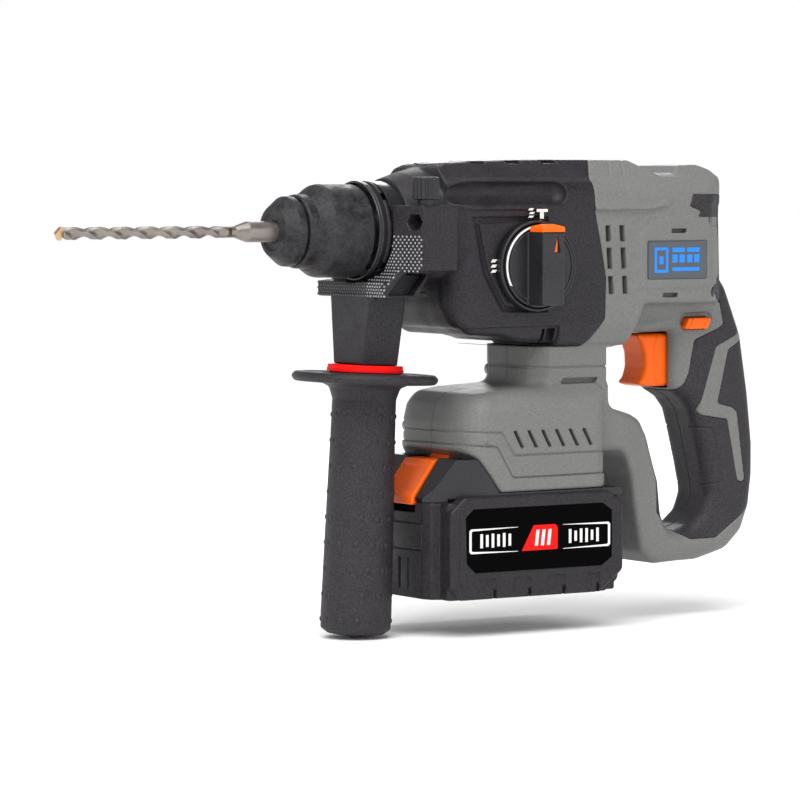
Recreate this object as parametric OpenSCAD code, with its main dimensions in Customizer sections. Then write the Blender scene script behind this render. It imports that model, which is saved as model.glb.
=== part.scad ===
// Cordless rotary hammer with an SDS-plus chuck, a side handle and a slide-on battery.
// Millimetres. +X runs from the bit to the rear, +Z is up, and Y = 0 is the split of the housing.
// The origin is on the spindle axis, where the bit's shank leaves the dust cap.

/* [Bit and chuck] */
// Diameter of the drill bit's shank
shank_d = 10; // [10:10]
// Length of the drill bit
bit_length = 160; // [110:1:210]
// Diameter of the drill bit's flutes
bit_d = 6; // [5:0.5:8]
// Length of shank held inside the chuck
shank_in = 43; // [42.5:0.1:43]
// Diameter of the chuck sleeve
sleeve_d = 45; // [44:0.5:45.5]
// Diameter of the neck that the side handle clamps on
neck_d = 45.6; // [45.2:0.1:46]

/* [Drive] */
// Height of the motor axis over the spindle axis
motor_z = -5.5; // [-5.5:-5.5]
// Height of the layshaft axis over the spindle axis
lay_z = -27.5; // [-27.5:-27.5]
// Teeth of the spindle gear
spindle_teeth = 32; // [32:32]
// Teeth of the layshaft pinion
lay_pinion_teeth = 12; // [12:12]
// Teeth of the layshaft's large gear
lay_gear_teeth = 35; // [35:35]
// Teeth of the motor pinion
motor_teeth = 9; // [9:9]

/* [Housing] */
// Half width of the gear housing
gear_half_w = 34; // [33.5:0.1:35]
// Half width of the motor housing
motor_half_w = 33; // [32.5:0.1:34]
// Half width of the rear handle
grip_half_w = 17.5; // [17:0.1:19]
// Half width of the battery foot
foot_half_w = 35; // [34.5:0.1:36]
// Thickness of the moulded walls
wall = 3; // [2.4:0.1:3.2]

/* [Mode dial] */
// Distance of the dial's axis behind the origin
dial_x = 129; // [127:0.5:130]
// Height of the dial's axis
dial_z = -17.3; // [-18:0.1:-16.5]
// Diameter of the dial's disc
dial_d = 40.4; // [38:0.1:41]

/* [Side handle] */
// Rake of the side handle's grip, bottom end forward
handle_rake = 2.6; // [1:0.1:3]
// Distance of the grip's axis behind the origin, at the flange
handle_x = 52.6; // [52:0.1:53.5]
// Height of the flange's upper face
flange_z = -68.4; // [-70:0.1:-68]
// Length of the grip below the flange
grip_length = 123; // [110:1:125]
// Diameter of the flange
flange_d = 72; // [60:1:72]

/* [Battery] */
// Height of the battery's underside
battery_z = -178.5; // [-180:0.1:-178.5]
// Distance of the battery's nose behind the origin
battery_x = 72.5; // [72:0.1:74]
// Half width of the battery over its side panels
battery_half_w = 37.2; // [36.5:0.1:38]

/* [Hidden] */

// Colours
black_rubber = [0.09, 0.09, 0.10];
black_plastic = [0.14, 0.13, 0.15];
grey_plastic = [0.46, 0.47, 0.47];
orange_plastic = [1.00, 0.38, 0.02];
red_plastic = [0.90, 0.14, 0.12];
steel = [0.62, 0.63, 0.65];
dark_steel = [0.35, 0.35, 0.37];
aluminium = [0.72, 0.73, 0.75];
copper = [0.80, 0.45, 0.25];
board_green = [0.05, 0.32, 0.16];

// Fits and small clearances
running = 0.05;      // radial clearance of a shaft in its bearing
gap = 0.3;           // clearance between moving surfaces that don't touch
big = 400;

// Chuck and spindle stations along X
shank_r = shank_d / 2;
neck_r = neck_d / 2;
sleeve_r = sleeve_d / 2;
sleeve_front = 11.4;
sleeve_rear = 45.2;
lip_x = 50.6;        // front lip of the gear housing's neck
ball_x = 29.5;
ball_r = 3.5;
ball_orbit = 6.9;
spindle_r = 15;
cylinder_r = 12;
spindle_end = 128;
seal_x = 53.5;
bearing_x = 60;

// Gears: modules and pitch radii
m_spindle = 1.25;
m_motor = 1.0;
gear_x = 107.5;      // front face of the spindle gear
gear_w = 9.5;
motor_gear_x = 150.5; // front face of the layshaft's large gear
motor_gear_w = 8;
bulkhead_x = 159.5;
bulkhead_w = 6;
wobble_x = 138;
wobble_ball_r = 11;
pin_r = 4.5;         // cross pin in the piston's fork
finger_r = 2.5;

// Motor stations along X
stator_x = 187;
stator_l = 38;
stator_r = 25;
rotor_r = 14;
fan_x = 175.5;
rear_bearing_x = 233;
motor_shaft_r = 4;

// Seam between the black gear housing and the grey motor housing, in X and Z
seam = [[176, 34.6], [167, 24], [166, 10], [170, -8], [173, -24], [172.5, -44], [163.5, -55],
    [158, -58.5]];

// Side outlines in X and Z
gear_side = concat(
    [[122, -57], [112, -53.5], [94, -51.5], [86, -46], [82, -38], [81, 0], [81, 31], [100, 32.6]],
    seam);
motor_side = concat(
    [[176, 34.6], [200, 34], [211, 28], [222, 28], [227, 31.6], [240, 32.4], [247, 29.5], [249.5, 22],
     [248.5, 5], [250, -14], [252, -34], [197, -38], [189, -57.5], [158, -58.5]],
    [for (i = [len(seam) - 2 : -1 : 1]) seam[i]]);
handle_outer = [
    [191, -30], [240, -10], [250, -14], [262, -30], [272, -54], [277, -84], [280, -110], [280, -126],
    [278, -142], [273, -155], [263, -164], [245, -168.5], [215, -169], [205, -162], [201, -145],
    [197, -124], [190, -110], [168, -110], [168, -88]];
handle_inner = [
    [197, -92.5], [204, -95.6], [209.5, -103.6], [218, -126.7], [220, -143.5], [224, -151],
    [231, -153], [239, -150.5], [247, -144], [250.5, -135], [247.5, -121], [243, -103], [240, -92.7],
    [235, -86.5], [226, -81], [226, -52], [200, -52], [189, -56], [179, -57], [179, -88]];
foot_side = [
    [88, -104], [88, -93], [93, -83.5], [100, -79.3], [112, -77.6], [142, -76], [178, -76],
        [178, -88], [169, -92], [169, -126], [109, -126.3], [97, -109.6]];

// Black part of the rear handle, in X and Z, and the grey stripe that shows through it
cover_region = [
    [221, -82], [231, -81], [235, -72.7], [238.5, -56.3], [253.3, -51], [257.2, -48.9], [254.4, -37.5],
    [247, -14], [300, -14], [300, -128], [252.8, -157.4], [237, -157.5], [223, -150]];
stripe = [
    [275, -49.5], [265.5, -54.7], [252.9, -60.1], [242.1, -92.2], [244.8, -94.7], [260.2, -97.1],
    [267, -129], [271.4, -129.2], [266.2, -93.8], [263.5, -91.5], [253.6, -89], [260.5, -61.6],
    [266, -58.7], [275, -54.5]];

// Offset of the dial's eccentric pin from the dial's axis, along X and along Z
dial_pin = 2.83;

// Battery stations
case_x0 = 78.5;
case_x1 = 181;
case_split_z = -131;
case_half_w = 34.6;
case_top_z = -127.3;
platform_x = [104.2, 150];
cell_r = 9.2;
cell_l = 64;
cell_pitch = 19.4;
cell_rows = [-147.2, -166.2];
cell_x0 = 91;
rail_z = [-126, -120.6];
platform_z = -113;

// Side handle
rake_pivot = [handle_x, 0, flange_z];
saddle_x = [53.7, 61.3];
band_t = 1.1;        // thickness of the clamp band round the neck
wing_y = -41;
wing_top = 12.5;
head_z = -32;
washer_h = 3.6;
flange_t = 5.2;
hex_y = -36.2;
hex_z = 4.5;
lock_x = 65;
lock_y = -34.6;
grip_bolt_r = 4;

// ---------- helpers ----------

// Cylinder along X
module xcyl(r, x0, x1, y = 0, z = 0) {
    translate([x0, y, z]) rotate([0, 90, 0]) cylinder(r = r, h = x1 - x0, $fn = 96);
}

// Ring along X
module xring(ro, ri, x0, x1, y = 0, z = 0) {
    difference() {
        xcyl(ro, x0, x1, y, z);
        xcyl(ri, x0 - 1, x1 + 1, y, z);
    }
}

// Cylinder along Y
module ycyl(r, y0, y1, x, z) {
    translate([x, y1, z]) rotate([90, 0, 0]) cylinder(r = r, h = y1 - y0, $fn = 96);
}

// Solid turned about the X axis, from points of radius and X
module xlathe(points) {
    rotate([0, 90, 0]) rotate_extrude($fn = 96) polygon(points);
}

// Plate with an outline in X and Z, between two Y planes
module side_plate(points, y0, y1) {
    translate([0, y1, 0]) rotate([90, 0, 0]) linear_extrude(y1 - y0) polygon(points);
}

// Prism with an outline in Y and Z, between two X planes
module front_plate(points, x0, x1) {
    translate([x0, 0, 0]) rotate([90, 0, 90]) linear_extrude(x1 - x0) polygon(points);
}

// Box from its low and high corners
module block(low, high) {
    translate(low) cube(high - low);
}

// Direction of the edge from a to b
function unit(a, b) = (b - a) / norm(b - a);

// Outline moved inwards by d, or outwards for a negative d (points run anticlockwise)
function inset(p, d) = [
    for (i = [0 : len(p) - 1])
        let (
            u = unit(p[(i + len(p) - 1) % len(p)], p[i]),
            v = unit(p[i], p[(i + 1) % len(p)]),
            n1 = [-u[1], u[0]],
            n2 = [-v[1], v[0]]
        )
        p[i] + d * (n1 + n2) / (1 + n1 * n2)
];

function area(p) = [for (i = [0 : len(p) - 1]) cross(p[i], p[(i + 1) % len(p)])] * [for (i = p) 1];
function anticlockwise(p) = area(p) > 0 ? p : [for (i = [len(p) - 1 : -1 : 0]) p[i]];
function shrunk(p, d) = inset(anticlockwise(p), d);

// Eight-sided section in Y and Z with its corners cut by c
function chamfered(half_w, z0, z1, c_top, c_low) = [
    [-half_w + c_low, z0], [half_w - c_low, z0], [half_w, z0 + c_low], [half_w, z1 - c_top],
    [half_w - c_top, z1], [-half_w + c_top, z1], [-half_w, z1 - c_top], [-half_w, z0 + c_low]];

// Gear outline with straight-flanked teeth, one tooth centred on the first axis
function tooth(a, pitch, r_root, r_tip) = [
    for (k = [[-0.30, r_root], [-0.09, r_tip], [0.09, r_tip], [0.30, r_root]])
        k[1] * [sin(a + k[0] * pitch), cos(a + k[0] * pitch)]];
function gear_outline(n, m) = [
    for (i = [0 : n - 1])
        each tooth(i * 360 / n, 360 / n, m * (n / 2 - 1.15), m * (n / 2 + 0.8))];

module xgear(n, m, x0, x1, z, turn = 0) {
    translate([x0, 0, z]) rotate([90, 0, 90]) rotate([0, 0, turn])
        linear_extrude(x1 - x0) polygon(gear_outline(n, m));
}

// Coil spring along Z as one swept tube: r is the coil's radius, w the wire's
module coil(r, w, length, turns) {
    sides = 8;
    rings = turns * 16;
    function at(i) = let (a = i * 360 / 16) [r * cos(a), r * sin(a), length * i / rings];
    points = [
        for (i = [0 : rings]) for (j = [0 : sides - 1])
            let (a = i * 360 / 16, b = j * 360 / sides)
            at(i) + w * [cos(b) * cos(a), cos(b) * sin(a), sin(b)]];
    ring_faces = [
        for (i = [0 : rings - 1]) for (j = [0 : sides - 1])
            let (k = (j + 1) % sides)
            [i * sides + j, i * sides + k, (i + 1) * sides + k, (i + 1) * sides + j]];
    first_end = [for (j = [sides - 1 : -1 : 0]) j];
    last_end = [for (j = [0 : sides - 1]) rings * sides + j];
    polyhedron(points, concat(ring_faces, [first_end], [last_end]));
}

// Places the raked parts of the side handle
module raked() {
    translate(rake_pivot) rotate([0, handle_rake, 0]) children();
}

// ---------- housing ----------

// Section of the gear housing in Y and Z
module gear_section(d) {
    front_plate([[-gear_half_w + d, -47], [-26, -70], [26, -70], [gear_half_w - d, -47],
                 [gear_half_w - d, 9 - d / 2], [27 - d / 2, 23 - d / 2], [13, 36 - d],
                 [-13, 36 - d], [-27 + d / 2, 23 - d / 2], [-gear_half_w + d, 9 - d / 2]], 60, 190);
}

// Outer form of the black gear housing
module gear_form(d = 0) {
    intersection() {
        side_plate(d == 0 ? gear_side : shrunk(gear_side, d), -gear_half_w + d, gear_half_w - d);
        gear_section(d);
        linear_extrude(big, center = true)
            polygon([[70, -24 + d], [81.5, -26 + d], [90, -gear_half_w + d], [190, -gear_half_w + d],
                     [190, gear_half_w - d], [90, gear_half_w - d], [81.5, 26 - d], [70, 24 - d]]);
    }
}

module gear_housing() {
    color(black_plastic) difference() {
        union() {
            gear_form();
            xlathe([[17, lip_x], [23.6, lip_x], [24, 51], [24, 52.8], [neck_r, 53.4], [neck_r, 61.8],
                    [25.2, 62.4], [28, 72], [30.4, 81.2], [30.4, 84], [17, 84]]);
        }
        // Main cavity, kept clear of the bearing web
        difference() {
            gear_form(wall);
            block([90, -15, -60], [106, 15, -15.5]);
        }
        // Open rear, where the bulkhead sits
        intersection() {
            gear_section(wall);
            block([150, -40, -47.5], [190, 40, 30.8]);
        }
        // Nose, bearing seat and front chamber
        xcyl(18, lip_x - 1, 62);
        xcyl(21, bearing_x, 90);
        // Seat of the layshaft's front bearing
        xcyl(9.5, 99, 110, 0, lay_z);
        // Dial recess and the bore of the dial's hub
        side_plate([[97, 7], [153, 7], [153, -40.2], [113.4, -40.2],
            [101, -21]], -gear_half_w - 1, -gear_half_w + 1.4);
        ycyl(8, -gear_half_w - 1, -gear_half_w + 6, dial_x, dial_z);
        // Long channels beside the ridge
        for (s = [-1, 1]) hull() for (x = [92, 150])
            translate([x, s * 35.5, 16.5]) rotate([90, 0, 0])
                cylinder(r = x < 100 ? 3.4 : 5.4, h = 9, center = true, $fn = 32);
        // Low side pockets
        for (s = [-1, 1])
            side_plate([[92, -48.5], [150, -49.5], [150, -56.5], [112, -53]],
                       s * (gear_half_w + 1) - 3.4, s * (gear_half_w + 1) + 3.4);
        // Notches across the top ridge
        for (x = [118, 138, 158])
            side_plate([[x, 40], [x, 32.2], [x + 9, 32.2], [x + 12, 40]], -16, 16);
        // Screw holes into the motor housing
        for (y = [-25, 25]) xcyl(1.6, 140, 190, y, -40);
    }
}

// Outer form of the grey housing: motor housing, handle loop, neck and battery foot
module grey_form() {
    intersection() {
        side_plate(motor_side, -motor_half_w, motor_half_w);
        front_plate([[-27, -58.5], [27, -58.5], [motor_half_w, -46], [motor_half_w, 9], [27, 22],
            [14, 35],
                     [-14, 35], [-27, 22], [-motor_half_w, 9], [-motor_half_w, -46]], 150, 260);
        linear_extrude(big, center = true)
            polygon([[150, -34], [236, -34], [252.5, -22], [252.5, 22], [236, 34], [150, 34]]);
    }
    intersection() {
        handle_solid();
        block([160, -20, -175], [220, 20, -88]);
    }
    difference() {
        handle_solid(grip_half_w);
        cover_zone();
    }
    handle_solid(grip_half_w - 2.5);
    // Neck
    intersection() {
        union() {
            block([130, -27.5, -90], [178, 27.5, -58.8]);
            block([158.6, -27.5, -60], [178, 27.5, -57.2]);
        }
        linear_extrude(big, center = true)
            polygon([[136, -18], [142, -27.5], [178, -27.5], [178, 27.5], [142, 27.5], [136, 18]]);
    }
    intersection() {
        side_plate(foot_side, -foot_half_w, foot_half_w);
        front_plate(chamfered(foot_half_w, -130, -77, 8, 1), 80, 180);
        linear_extrude(big, center = true)
            polygon([[87, -22], [90, -28], [102, -foot_half_w], [160, -foot_half_w], [179, -27.5],
                [179, 27.5],
                     [160, foot_half_w], [102, foot_half_w], [90, 28], [87, 22]]);
    }
    // Stripe that stands through the grip cover
    intersection() {
        handle_solid(grip_half_w);
        side_plate(stripe, -big, big);
    }
}

// The handle loop as a plate with the finger opening cut through
module handle_solid(w = 20) {
    difference() {
        side_plate(handle_outer, -w, w);
        side_plate(handle_inner, -w - 1, w + 1);
    }
}

module cover_zone() {
    difference() {
        side_plate(cover_region, -big, big);
        side_plate(stripe, -big, big);
    }
}

// Everything hollow or cut inside the grey housing
module grey_cuts() {
    // Motor chamber
    intersection() {
        side_plate([[140, 31], [199, 31], [210, 25], [223, 25], [228, 28.5], [239, 29], [246, 20],
                    [245.5, 0], [247, -20], [247, -35], [195, -35], [187, -54.5], [140, -54.5]],
                   -motor_half_w + wall, motor_half_w - wall);
        front_plate([[-24, -55.5], [24, -55.5], [30, -45], [30, 8], [25, 20], [12.5, 32], [-12.5, 32],
            [-25, 20],
                     [-30, 8], [-30, -45]], 140, 260);
        linear_extrude(big, center = true)
            polygon([[130, -31], [234, -31], [249, -20], [249, 20], [234, 31], [130, 31]]);
    }
    // Neck and electronics bay
    block([145, -24.5, -100], [175, 24.5, -52]);
    block([100, -30, -104], [166, 30, -84]);
    block([93, -24, -101], [101, 24, -88]);
    // Battery bay, open below and in front, and the rails' groove
    block([100.9, -24.5, -130], [166, 24.5, -107]);
    block([100.9, -31, rail_z[1]], [166, 31, -107]);
    block([80, -24.5, -130], [103, 24.5, -109.6]);
    block([92, -9, -109.7], [102, 9, -106.5]);
    // Switch chamber in the handle, and the mouth that the trigger moves in
    side_plate([[231, -22], [245, -20], [255, -30], [265, -55], [270, -83], [273, -110], [270, -126],
                [257, -126], [250, -104], [245, -88], [236, -80.6], [236, -52], [231, -50]],
               -grip_half_w + 5.5, grip_half_w - 5.5);
    block([222, -10.6, -80.2], [240, 10.6, -52.4]);
    // Window of the direction selector
    block([229.6, -30, -51.4], [248.4, 30, -44.6]);
    // Vent slots of the motor housing
    for (s = [-1, 1]) for (x = [173.5, 182]) for (z = [[-6, 2], [-19.5, -9], [-32, -23]])
        block([x, s * motor_half_w - 4, z[0]], [x + 3.2, s * motor_half_w + 4, z[1]]);
    for (s = [-1, 1]) for (p = [[213, -1], [208, -33]])
        block([p[0], s * motor_half_w - 4, p[1] - 1.2], [p[0] + 9, s * motor_half_w + 4, p[1] + 1.2]);
    // Slanted vents of the foot
    for (s = [-1, 1]) for (i = [0 : 5])
        side_plate([[116 + i * 8.2, -97], [118.2 + i * 8.2, -97], [123 + i * 8.2, -106],
            [120.8 + i * 8.2, -106]],
                   s * foot_half_w - 7, s * foot_half_w + 7);
    // Slot of the neck
    for (s = [-1, 1])
        side_plate([[149, -73], [171, -73], [170, -75.6], [147, -75.6]], s * 27.5 - 4, s * 27.5 + 4);
    // Recess of the name plate
    for (s = [-1, 1])
        block([198, s * motor_half_w - 0.8, -25], [235, s * motor_half_w + 0.8, -6]);
    // Holes of the housing screws, sunk from the right side
    for (p = screw_places) {
        ycyl(1.9, -9, 40, p[0], p[1]);
        ycyl(3.4, p[2], 60, p[0], p[1]);
    }
    for (y = [-25, 25]) xcyl(1.6, 150, 186, y, -40);
}

// Places of the housing's side screws: X, Z and the Y of the head's seat
screw_places = [[182, 27.5, 17], [242, 24, 18], [254, -143, 12.5], [213, -158, 17], [140.5, -70, 20],
    [95.5, -97, 26]];

// Seat of the rear motor bearing, on a web across the chamber
module rear_seat() {
    difference() {
        block([rear_bearing_x - 1, -31, -24], [rear_bearing_x + 6, 31, 13]);
        xcyl(9.5, rear_bearing_x - 2, rear_bearing_x + 7, 0, motor_z);
        block([rear_bearing_x - 2, -31, -25], [rear_bearing_x + 7, -24, 14]);
        block([rear_bearing_x - 2, 24, -25], [rear_bearing_x + 7, 31, 14]);
    }
}

module grey_body() {
    difference() {
        grey_form();
        grey_cuts();
    }
    difference() {
        intersection() {
            side_plate(motor_side, -29, 29);
            union() {
                rear_seat();
                for (s = [-1, 1])
                    block([rear_bearing_x - 1, s * 26.5 - 3.5, -14],
                        [rear_bearing_x + 6, s * 26.5 + 3.5, 3]);
            }
        }
        for (p = screw_places) ycyl(1.9, -9, 40, p[0], p[1]);
    }
}

module housing_left() {
    color(grey_plastic) intersection() {
        grey_body();
        block([60, -60, -200], [300, 0, 60]);
    }
}

module housing_right() {
    color(grey_plastic) intersection() {
        grey_body();
        block([60, 0, -200], [300, 60, 60]);
    }
}

// Soft cover on one side of the handle
module grip_cover(y0, y1) {
    color(black_rubber) difference() {
        intersection() {
            handle_solid(grip_half_w);
            cover_zone();
            block([200, y0, -175], [300, y1, 60]);
        }
        side_plate(motor_side, -big, big);
        for (p = screw_places) ycyl(3.4, p[2], 60, p[0], p[1]);
        block([229.6, -30, -51.4], [248.4, 30, -44.6]);
    }
}

module grip_cover_left() {
    grip_cover(-grip_half_w, -grip_half_w + 2.5);
}

module grip_cover_right() {
    grip_cover(grip_half_w - 2.5, grip_half_w);
}

module name_plates() {
    color([0.30, 0.33, 0.35]) for (s = [-1, 1])
        block([198.2, s * (motor_half_w - 0.3) - 0.5, -24.8],
            [234.8, s * (motor_half_w - 0.3) + 0.5, -6.2]);
}

// Screws that hold the two housing halves together, with a socket in each head
module housing_screws() {
    color(dark_steel) for (p = screw_places)
        difference() {
            union() {
                ycyl(3.1, p[2], p[2] + 2.4, p[0], p[1]);
                ycyl(1.85, -8.5, p[2], p[0], p[1]);
            }
            ycyl(1.3, p[2] + 1, p[2] + 3, p[0], p[1]);
        }
}

module gear_housing_screws() {
    color(dark_steel) for (y = [-25, 25]) {
        xcyl(1.55, 158, 182, y, -40);
        xcyl(3, 182, 185, y, -40);
    }
}

// ---------- gear case parts ----------

// Plate that closes the gear case and carries the rear bearings
module bearing_bulkhead() {
    color(aluminium) difference() {
        front_plate([[-27, -47.4], [27, -47.4], [30.8, -42], [30.8, 7.5], [25.5, 20], [14, 30.5],
            [-14, 30.5],
                     [-25.5, 20], [-30.8, 7.5], [-30.8, -42]], bulkhead_x, bulkhead_x + bulkhead_w);
        xcyl(9.5, bulkhead_x - 1, bulkhead_x + 7, 0, motor_z);
        xcyl(9, bulkhead_x - 1, bulkhead_x + 7, 0, lay_z);
        for (y = [-25, 25]) xcyl(1.6, bulkhead_x - 1, bulkhead_x + 7, y, -40);
    }
}

// Inner web that holds the rear end of the spindle
module spindle_support() {
    color(aluminium) difference() {
        front_plate([[-21.5, -45], [21.5, -45], [21.5, 18], [14, 28.5], [-14, 28.5],
            [-21.5, 18]], 119.5, 126.5);
        xcyl(19, 119, 127);
        xcyl(7, 119, 127, 0, lay_z);
    }
}

module spindle_bearings() {
    color(steel) {
        xring(21, spindle_r + running, bearing_x, bearing_x + 7);
        xring(19, spindle_r + running, 119.5, 126.5);
    }
}

module spindle_oil_seal() {
    color(black_rubber) xring(18, 12.6, seal_x, seal_x + 4);
}

module layshaft_bearings() {
    color(steel) {
        xring(9.5, 5 + running, 99.5, 105.5, 0, lay_z);
        xring(9, 5 + running, bulkhead_x, bulkhead_x + bulkhead_w, 0, lay_z);
    }
}

// ---------- motor ----------

module motor_stator() {
    color(dark_steel) difference() {
        xcyl(stator_r, stator_x, stator_x + stator_l, 0, motor_z);
        xcyl(rotor_r + 0.6, stator_x - 1, stator_x + stator_l + 1, 0, motor_z);
        for (i = [0 : 5]) translate([0, 0, motor_z]) rotate([i * 60 + 30, 0, 0])
            block([stator_x - 1, -4.6, rotor_r + 2], [stator_x + stator_l + 1, 4.6, stator_r - 3.5]);
    }
}

// Copper coils that stand out at both ends of the stator
module motor_windings() {
    color(copper) for (i = [0 : 5]) translate([0, 0, motor_z]) rotate([i * 60 + 30, 0, 0])
        difference() {
            block([stator_x - 4, -4.4, rotor_r + 2.3], [stator_x + stator_l + 4, 4.4, stator_r - 3.8]);
            block([stator_x - 5, -1, rotor_r + 2], [stator_x + stator_l + 5, 1, stator_r - 5.5]);
        }
}

module motor_bearings() {
    color(steel) {
        xring(9.5, motor_shaft_r + running, bulkhead_x, bulkhead_x + bulkhead_w, 0, motor_z);
        xring(9.5, motor_shaft_r + running, rear_bearing_x, rear_bearing_x + 5, 0, motor_z);
    }
}

module rotor_shaft() {
    color(steel) {
        xcyl(motor_shaft_r, motor_gear_x + motor_gear_w + 0.7, rear_bearing_x + 5.5, 0, motor_z);
        xcyl(m_motor * (motor_teeth / 2 - 1.15), motor_gear_x - 0.4, motor_gear_x + motor_gear_w + 0.7,
            0, motor_z);
        xgear(motor_teeth, m_motor, motor_gear_x - 0.2, motor_gear_x + motor_gear_w + 0.2, motor_z);
    }
}

module rotor_core() {
    color(steel) difference() {
        xcyl(rotor_r, stator_x - 1, stator_x + stator_l + 1, 0, motor_z);
        xcyl(motor_shaft_r, stator_x - 2, stator_x + stator_l + 2, 0, motor_z);
        for (i = [0 : 5]) translate([0, 0, motor_z]) rotate([i * 60, 0, 0])
            block([stator_x - 2, -4, 8.5], [stator_x + stator_l + 2, 4, 10.2]);
    }
}

module cooling_fan() {
    color([0.12, 0.12, 0.13]) difference() {
        union() {
            xcyl(7, fan_x - 2, fan_x + 6, 0, motor_z);
            xcyl(22, fan_x - 2, fan_x - 0.5, 0, motor_z);
            for (i = [0 : 10]) translate([0, 0, motor_z]) rotate([i * 360 / 11, 0, 0])
                block([fan_x - 1, -0.8, 5.5], [fan_x + 6, 0.8, 22]);
        }
        xcyl(motor_shaft_r, fan_x - 3, fan_x + 7, 0, motor_z);
    }
}

// ---------- spindle and chuck ----------

module spindle() {
    color(steel) difference() {
        xlathe([[0, 2.3], [9, 2.3], [9, sleeve_front], [12.5, sleeve_front], [12.5, 19], [10.2, 19.5],
                [10.2, 45.4], [17.6, 45.4], [17.6, 46.8], [12.5, 47], [12.5, 58], [spindle_r, 58],
                [spindle_r, spindle_end], [0, spindle_end]]);
        xcyl(shank_r + running, 0, 61);
        xcyl(8.05, 60, 84);
        xcyl(cylinder_r, 83, spindle_end + 1);
        // Windows of the locking balls
        for (s = [-1, 1]) ycyl(ball_r + 0.1, min(s * 4, s * 14), max(s * 4, s * 14), ball_x, 0);
        // Air holes of the cylinder
        for (a = [0 : 90 : 270]) rotate([a + 45, 0, 0])
            translate([103, 0, 11]) cylinder(r = 1.2, h = 6, $fn = 24);
    }
    // Keys that turn the shank
    color(steel) for (s = [-1, 1])
        block([20, -1.3, s > 0 ? 3.6 : -5.6], [34, 1.3, s > 0 ? 5.6 : -3.6]);
}

module spindle_gear() {
    color(dark_steel) difference() {
        xgear(spindle_teeth, m_spindle, gear_x, gear_x + gear_w, 0);
        xcyl(spindle_r, gear_x - 1, gear_x + gear_w + 1);
    }
}

module dust_cap() {
    color(black_rubber) xlathe([
        [5.3, 0], [12.2, 0], [16.5, 5.6], [16.9, 6.6], [16.9, 9.2], [16.2, 10.6], [9, 10.6], [9, 2.3],
            [5.3, 2.3]]);
}

module locking_balls() {
    color(steel) for (s = [-1, 1]) translate([ball_x, s * ball_orbit, 0]) sphere(r = ball_r, $fn = 48);
}

module chuck_sleeve() {
    color(black_rubber) xlathe([
        [12.8, sleeve_front], [16.8, sleeve_front], [17.6, 12.2], [17.9, 16], [19.8, 18.6], [22, 23.4],
        [sleeve_r, 25.6], [sleeve_r, sleeve_rear - 1.6], [sleeve_r - 1.2, sleeve_rear],
            [19, sleeve_rear],
        [19, 18.4], [12.8, 18.4]]);
}

module locking_ring() {
    color(dark_steel) xlathe([
        [10.5, 27], [12, 26.2], [12, 25.4], [19, 25.4], [19, 27.4], [13.5, 28], [13.5, 32.5],
            [10.5, 32.5]]);
}

module chuck_spring() {
    color(steel) translate([33.4, 0, 0]) rotate([0, 90, 0]) coil(12.5, 0.75, 11.1, 4);
}

// ---------- bit ----------

flute_x = [-bit_length + shank_in + 4, -26];
flute_lead = bit_d * 4.45;

module drill_bit() {
    color(steel) {
        // Spiral flutes
        translate([flute_x[0], 0, 0]) rotate([90, 0, 90])
            linear_extrude(flute_x[1] - flute_x[0],
                twist = -360 * (flute_x[1] - flute_x[0]) / flute_lead, slices = 90)
                polygon([for (i = [0 : 11])
                    let (a = i * 30, k = i % 6, r = bit_d / 2 * [1, 0.93, 0.66, 0.52, 0.62, 0.9][k])
                    [r * cos(a), r * sin(a)]]);
        difference() {
            // A shallow relief ring ends the plain shank in front of the dust cap
            xlathe([[0, -26.2], [2.75, -26.2], [2.75, -19.6], [shank_r, -13.6], [shank_r, -0.1],
                    [shank_r - 0.2, -0.1], [shank_r - 0.2, 0.9], [shank_r, 0.9], [shank_r, shank_in - 1],
                    [shank_r - 1, shank_in], [0, shank_in]]);
            // Closed grooves for the locking balls
            for (s = [-1, 1]) hull() for (x = [28.4, 38.6])
                translate([x, s * ball_orbit, 0]) sphere(r = ball_r + 0.15, $fn = 32);
            // Open grooves for the keys
            for (s = [-1, 1])
                block([11, -1.5, s > 0 ? 3.4 : -6], [shank_in + 1, 1.5, s > 0 ? 6 : -3.4]);
        }
    }
}

module carbide_tip() {
    color([0.78, 0.62, 0.42]) rotate([30, 0, 0])
        side_plate([[-bit_length + shank_in, 0], [-bit_length + shank_in + 1.8, -3.2],
                    [flute_x[0] - 0.05, -3.2], [flute_x[0] - 0.05, 3.2],
                    [-bit_length + shank_in + 1.8, 3.2]], -0.9, 0.9);
}

// ---------- hammer mechanism ----------

module beat_piece() {
    color(dark_steel) xlathe([
        [0, 45], [4.3, 45], [4.9, 45.8], [4.9, 62], [8, 64], [8, 76], [6, 77.5], [6, 83.2], [0, 83.2]]);
}

module striker() {
    color(steel) difference() {
        xcyl(cylinder_r - running, 86, 100);
        xring(cylinder_r + 1, cylinder_r - 1.6, 91.5, 93.7);
        xcyl(6, 97, 101);
    }
    color(black_rubber) xring(cylinder_r - running, cylinder_r - 1.6, 91.7, 93.5);
}

// Piston with a fork at its rear that carries the cross pin
module piston() {
    color(aluminium) {
        difference() {
            xcyl(cylinder_r - running, 108, 126);
            xring(cylinder_r + 1, cylinder_r - 1.6, 110, 112.2);
        }
        difference() {
            xcyl(cylinder_r - running, 126, 144);
            block([125.9, -4.6, -20], [150, 4.6, 20]);
            block([127, -20, -20], [150, 20, -6.5]);
            block([127, -20, 6.5], [150, 20, 20]);
            ycyl(pin_r + running, -20, 20, wobble_x, 0);
        }
    }
}

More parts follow.
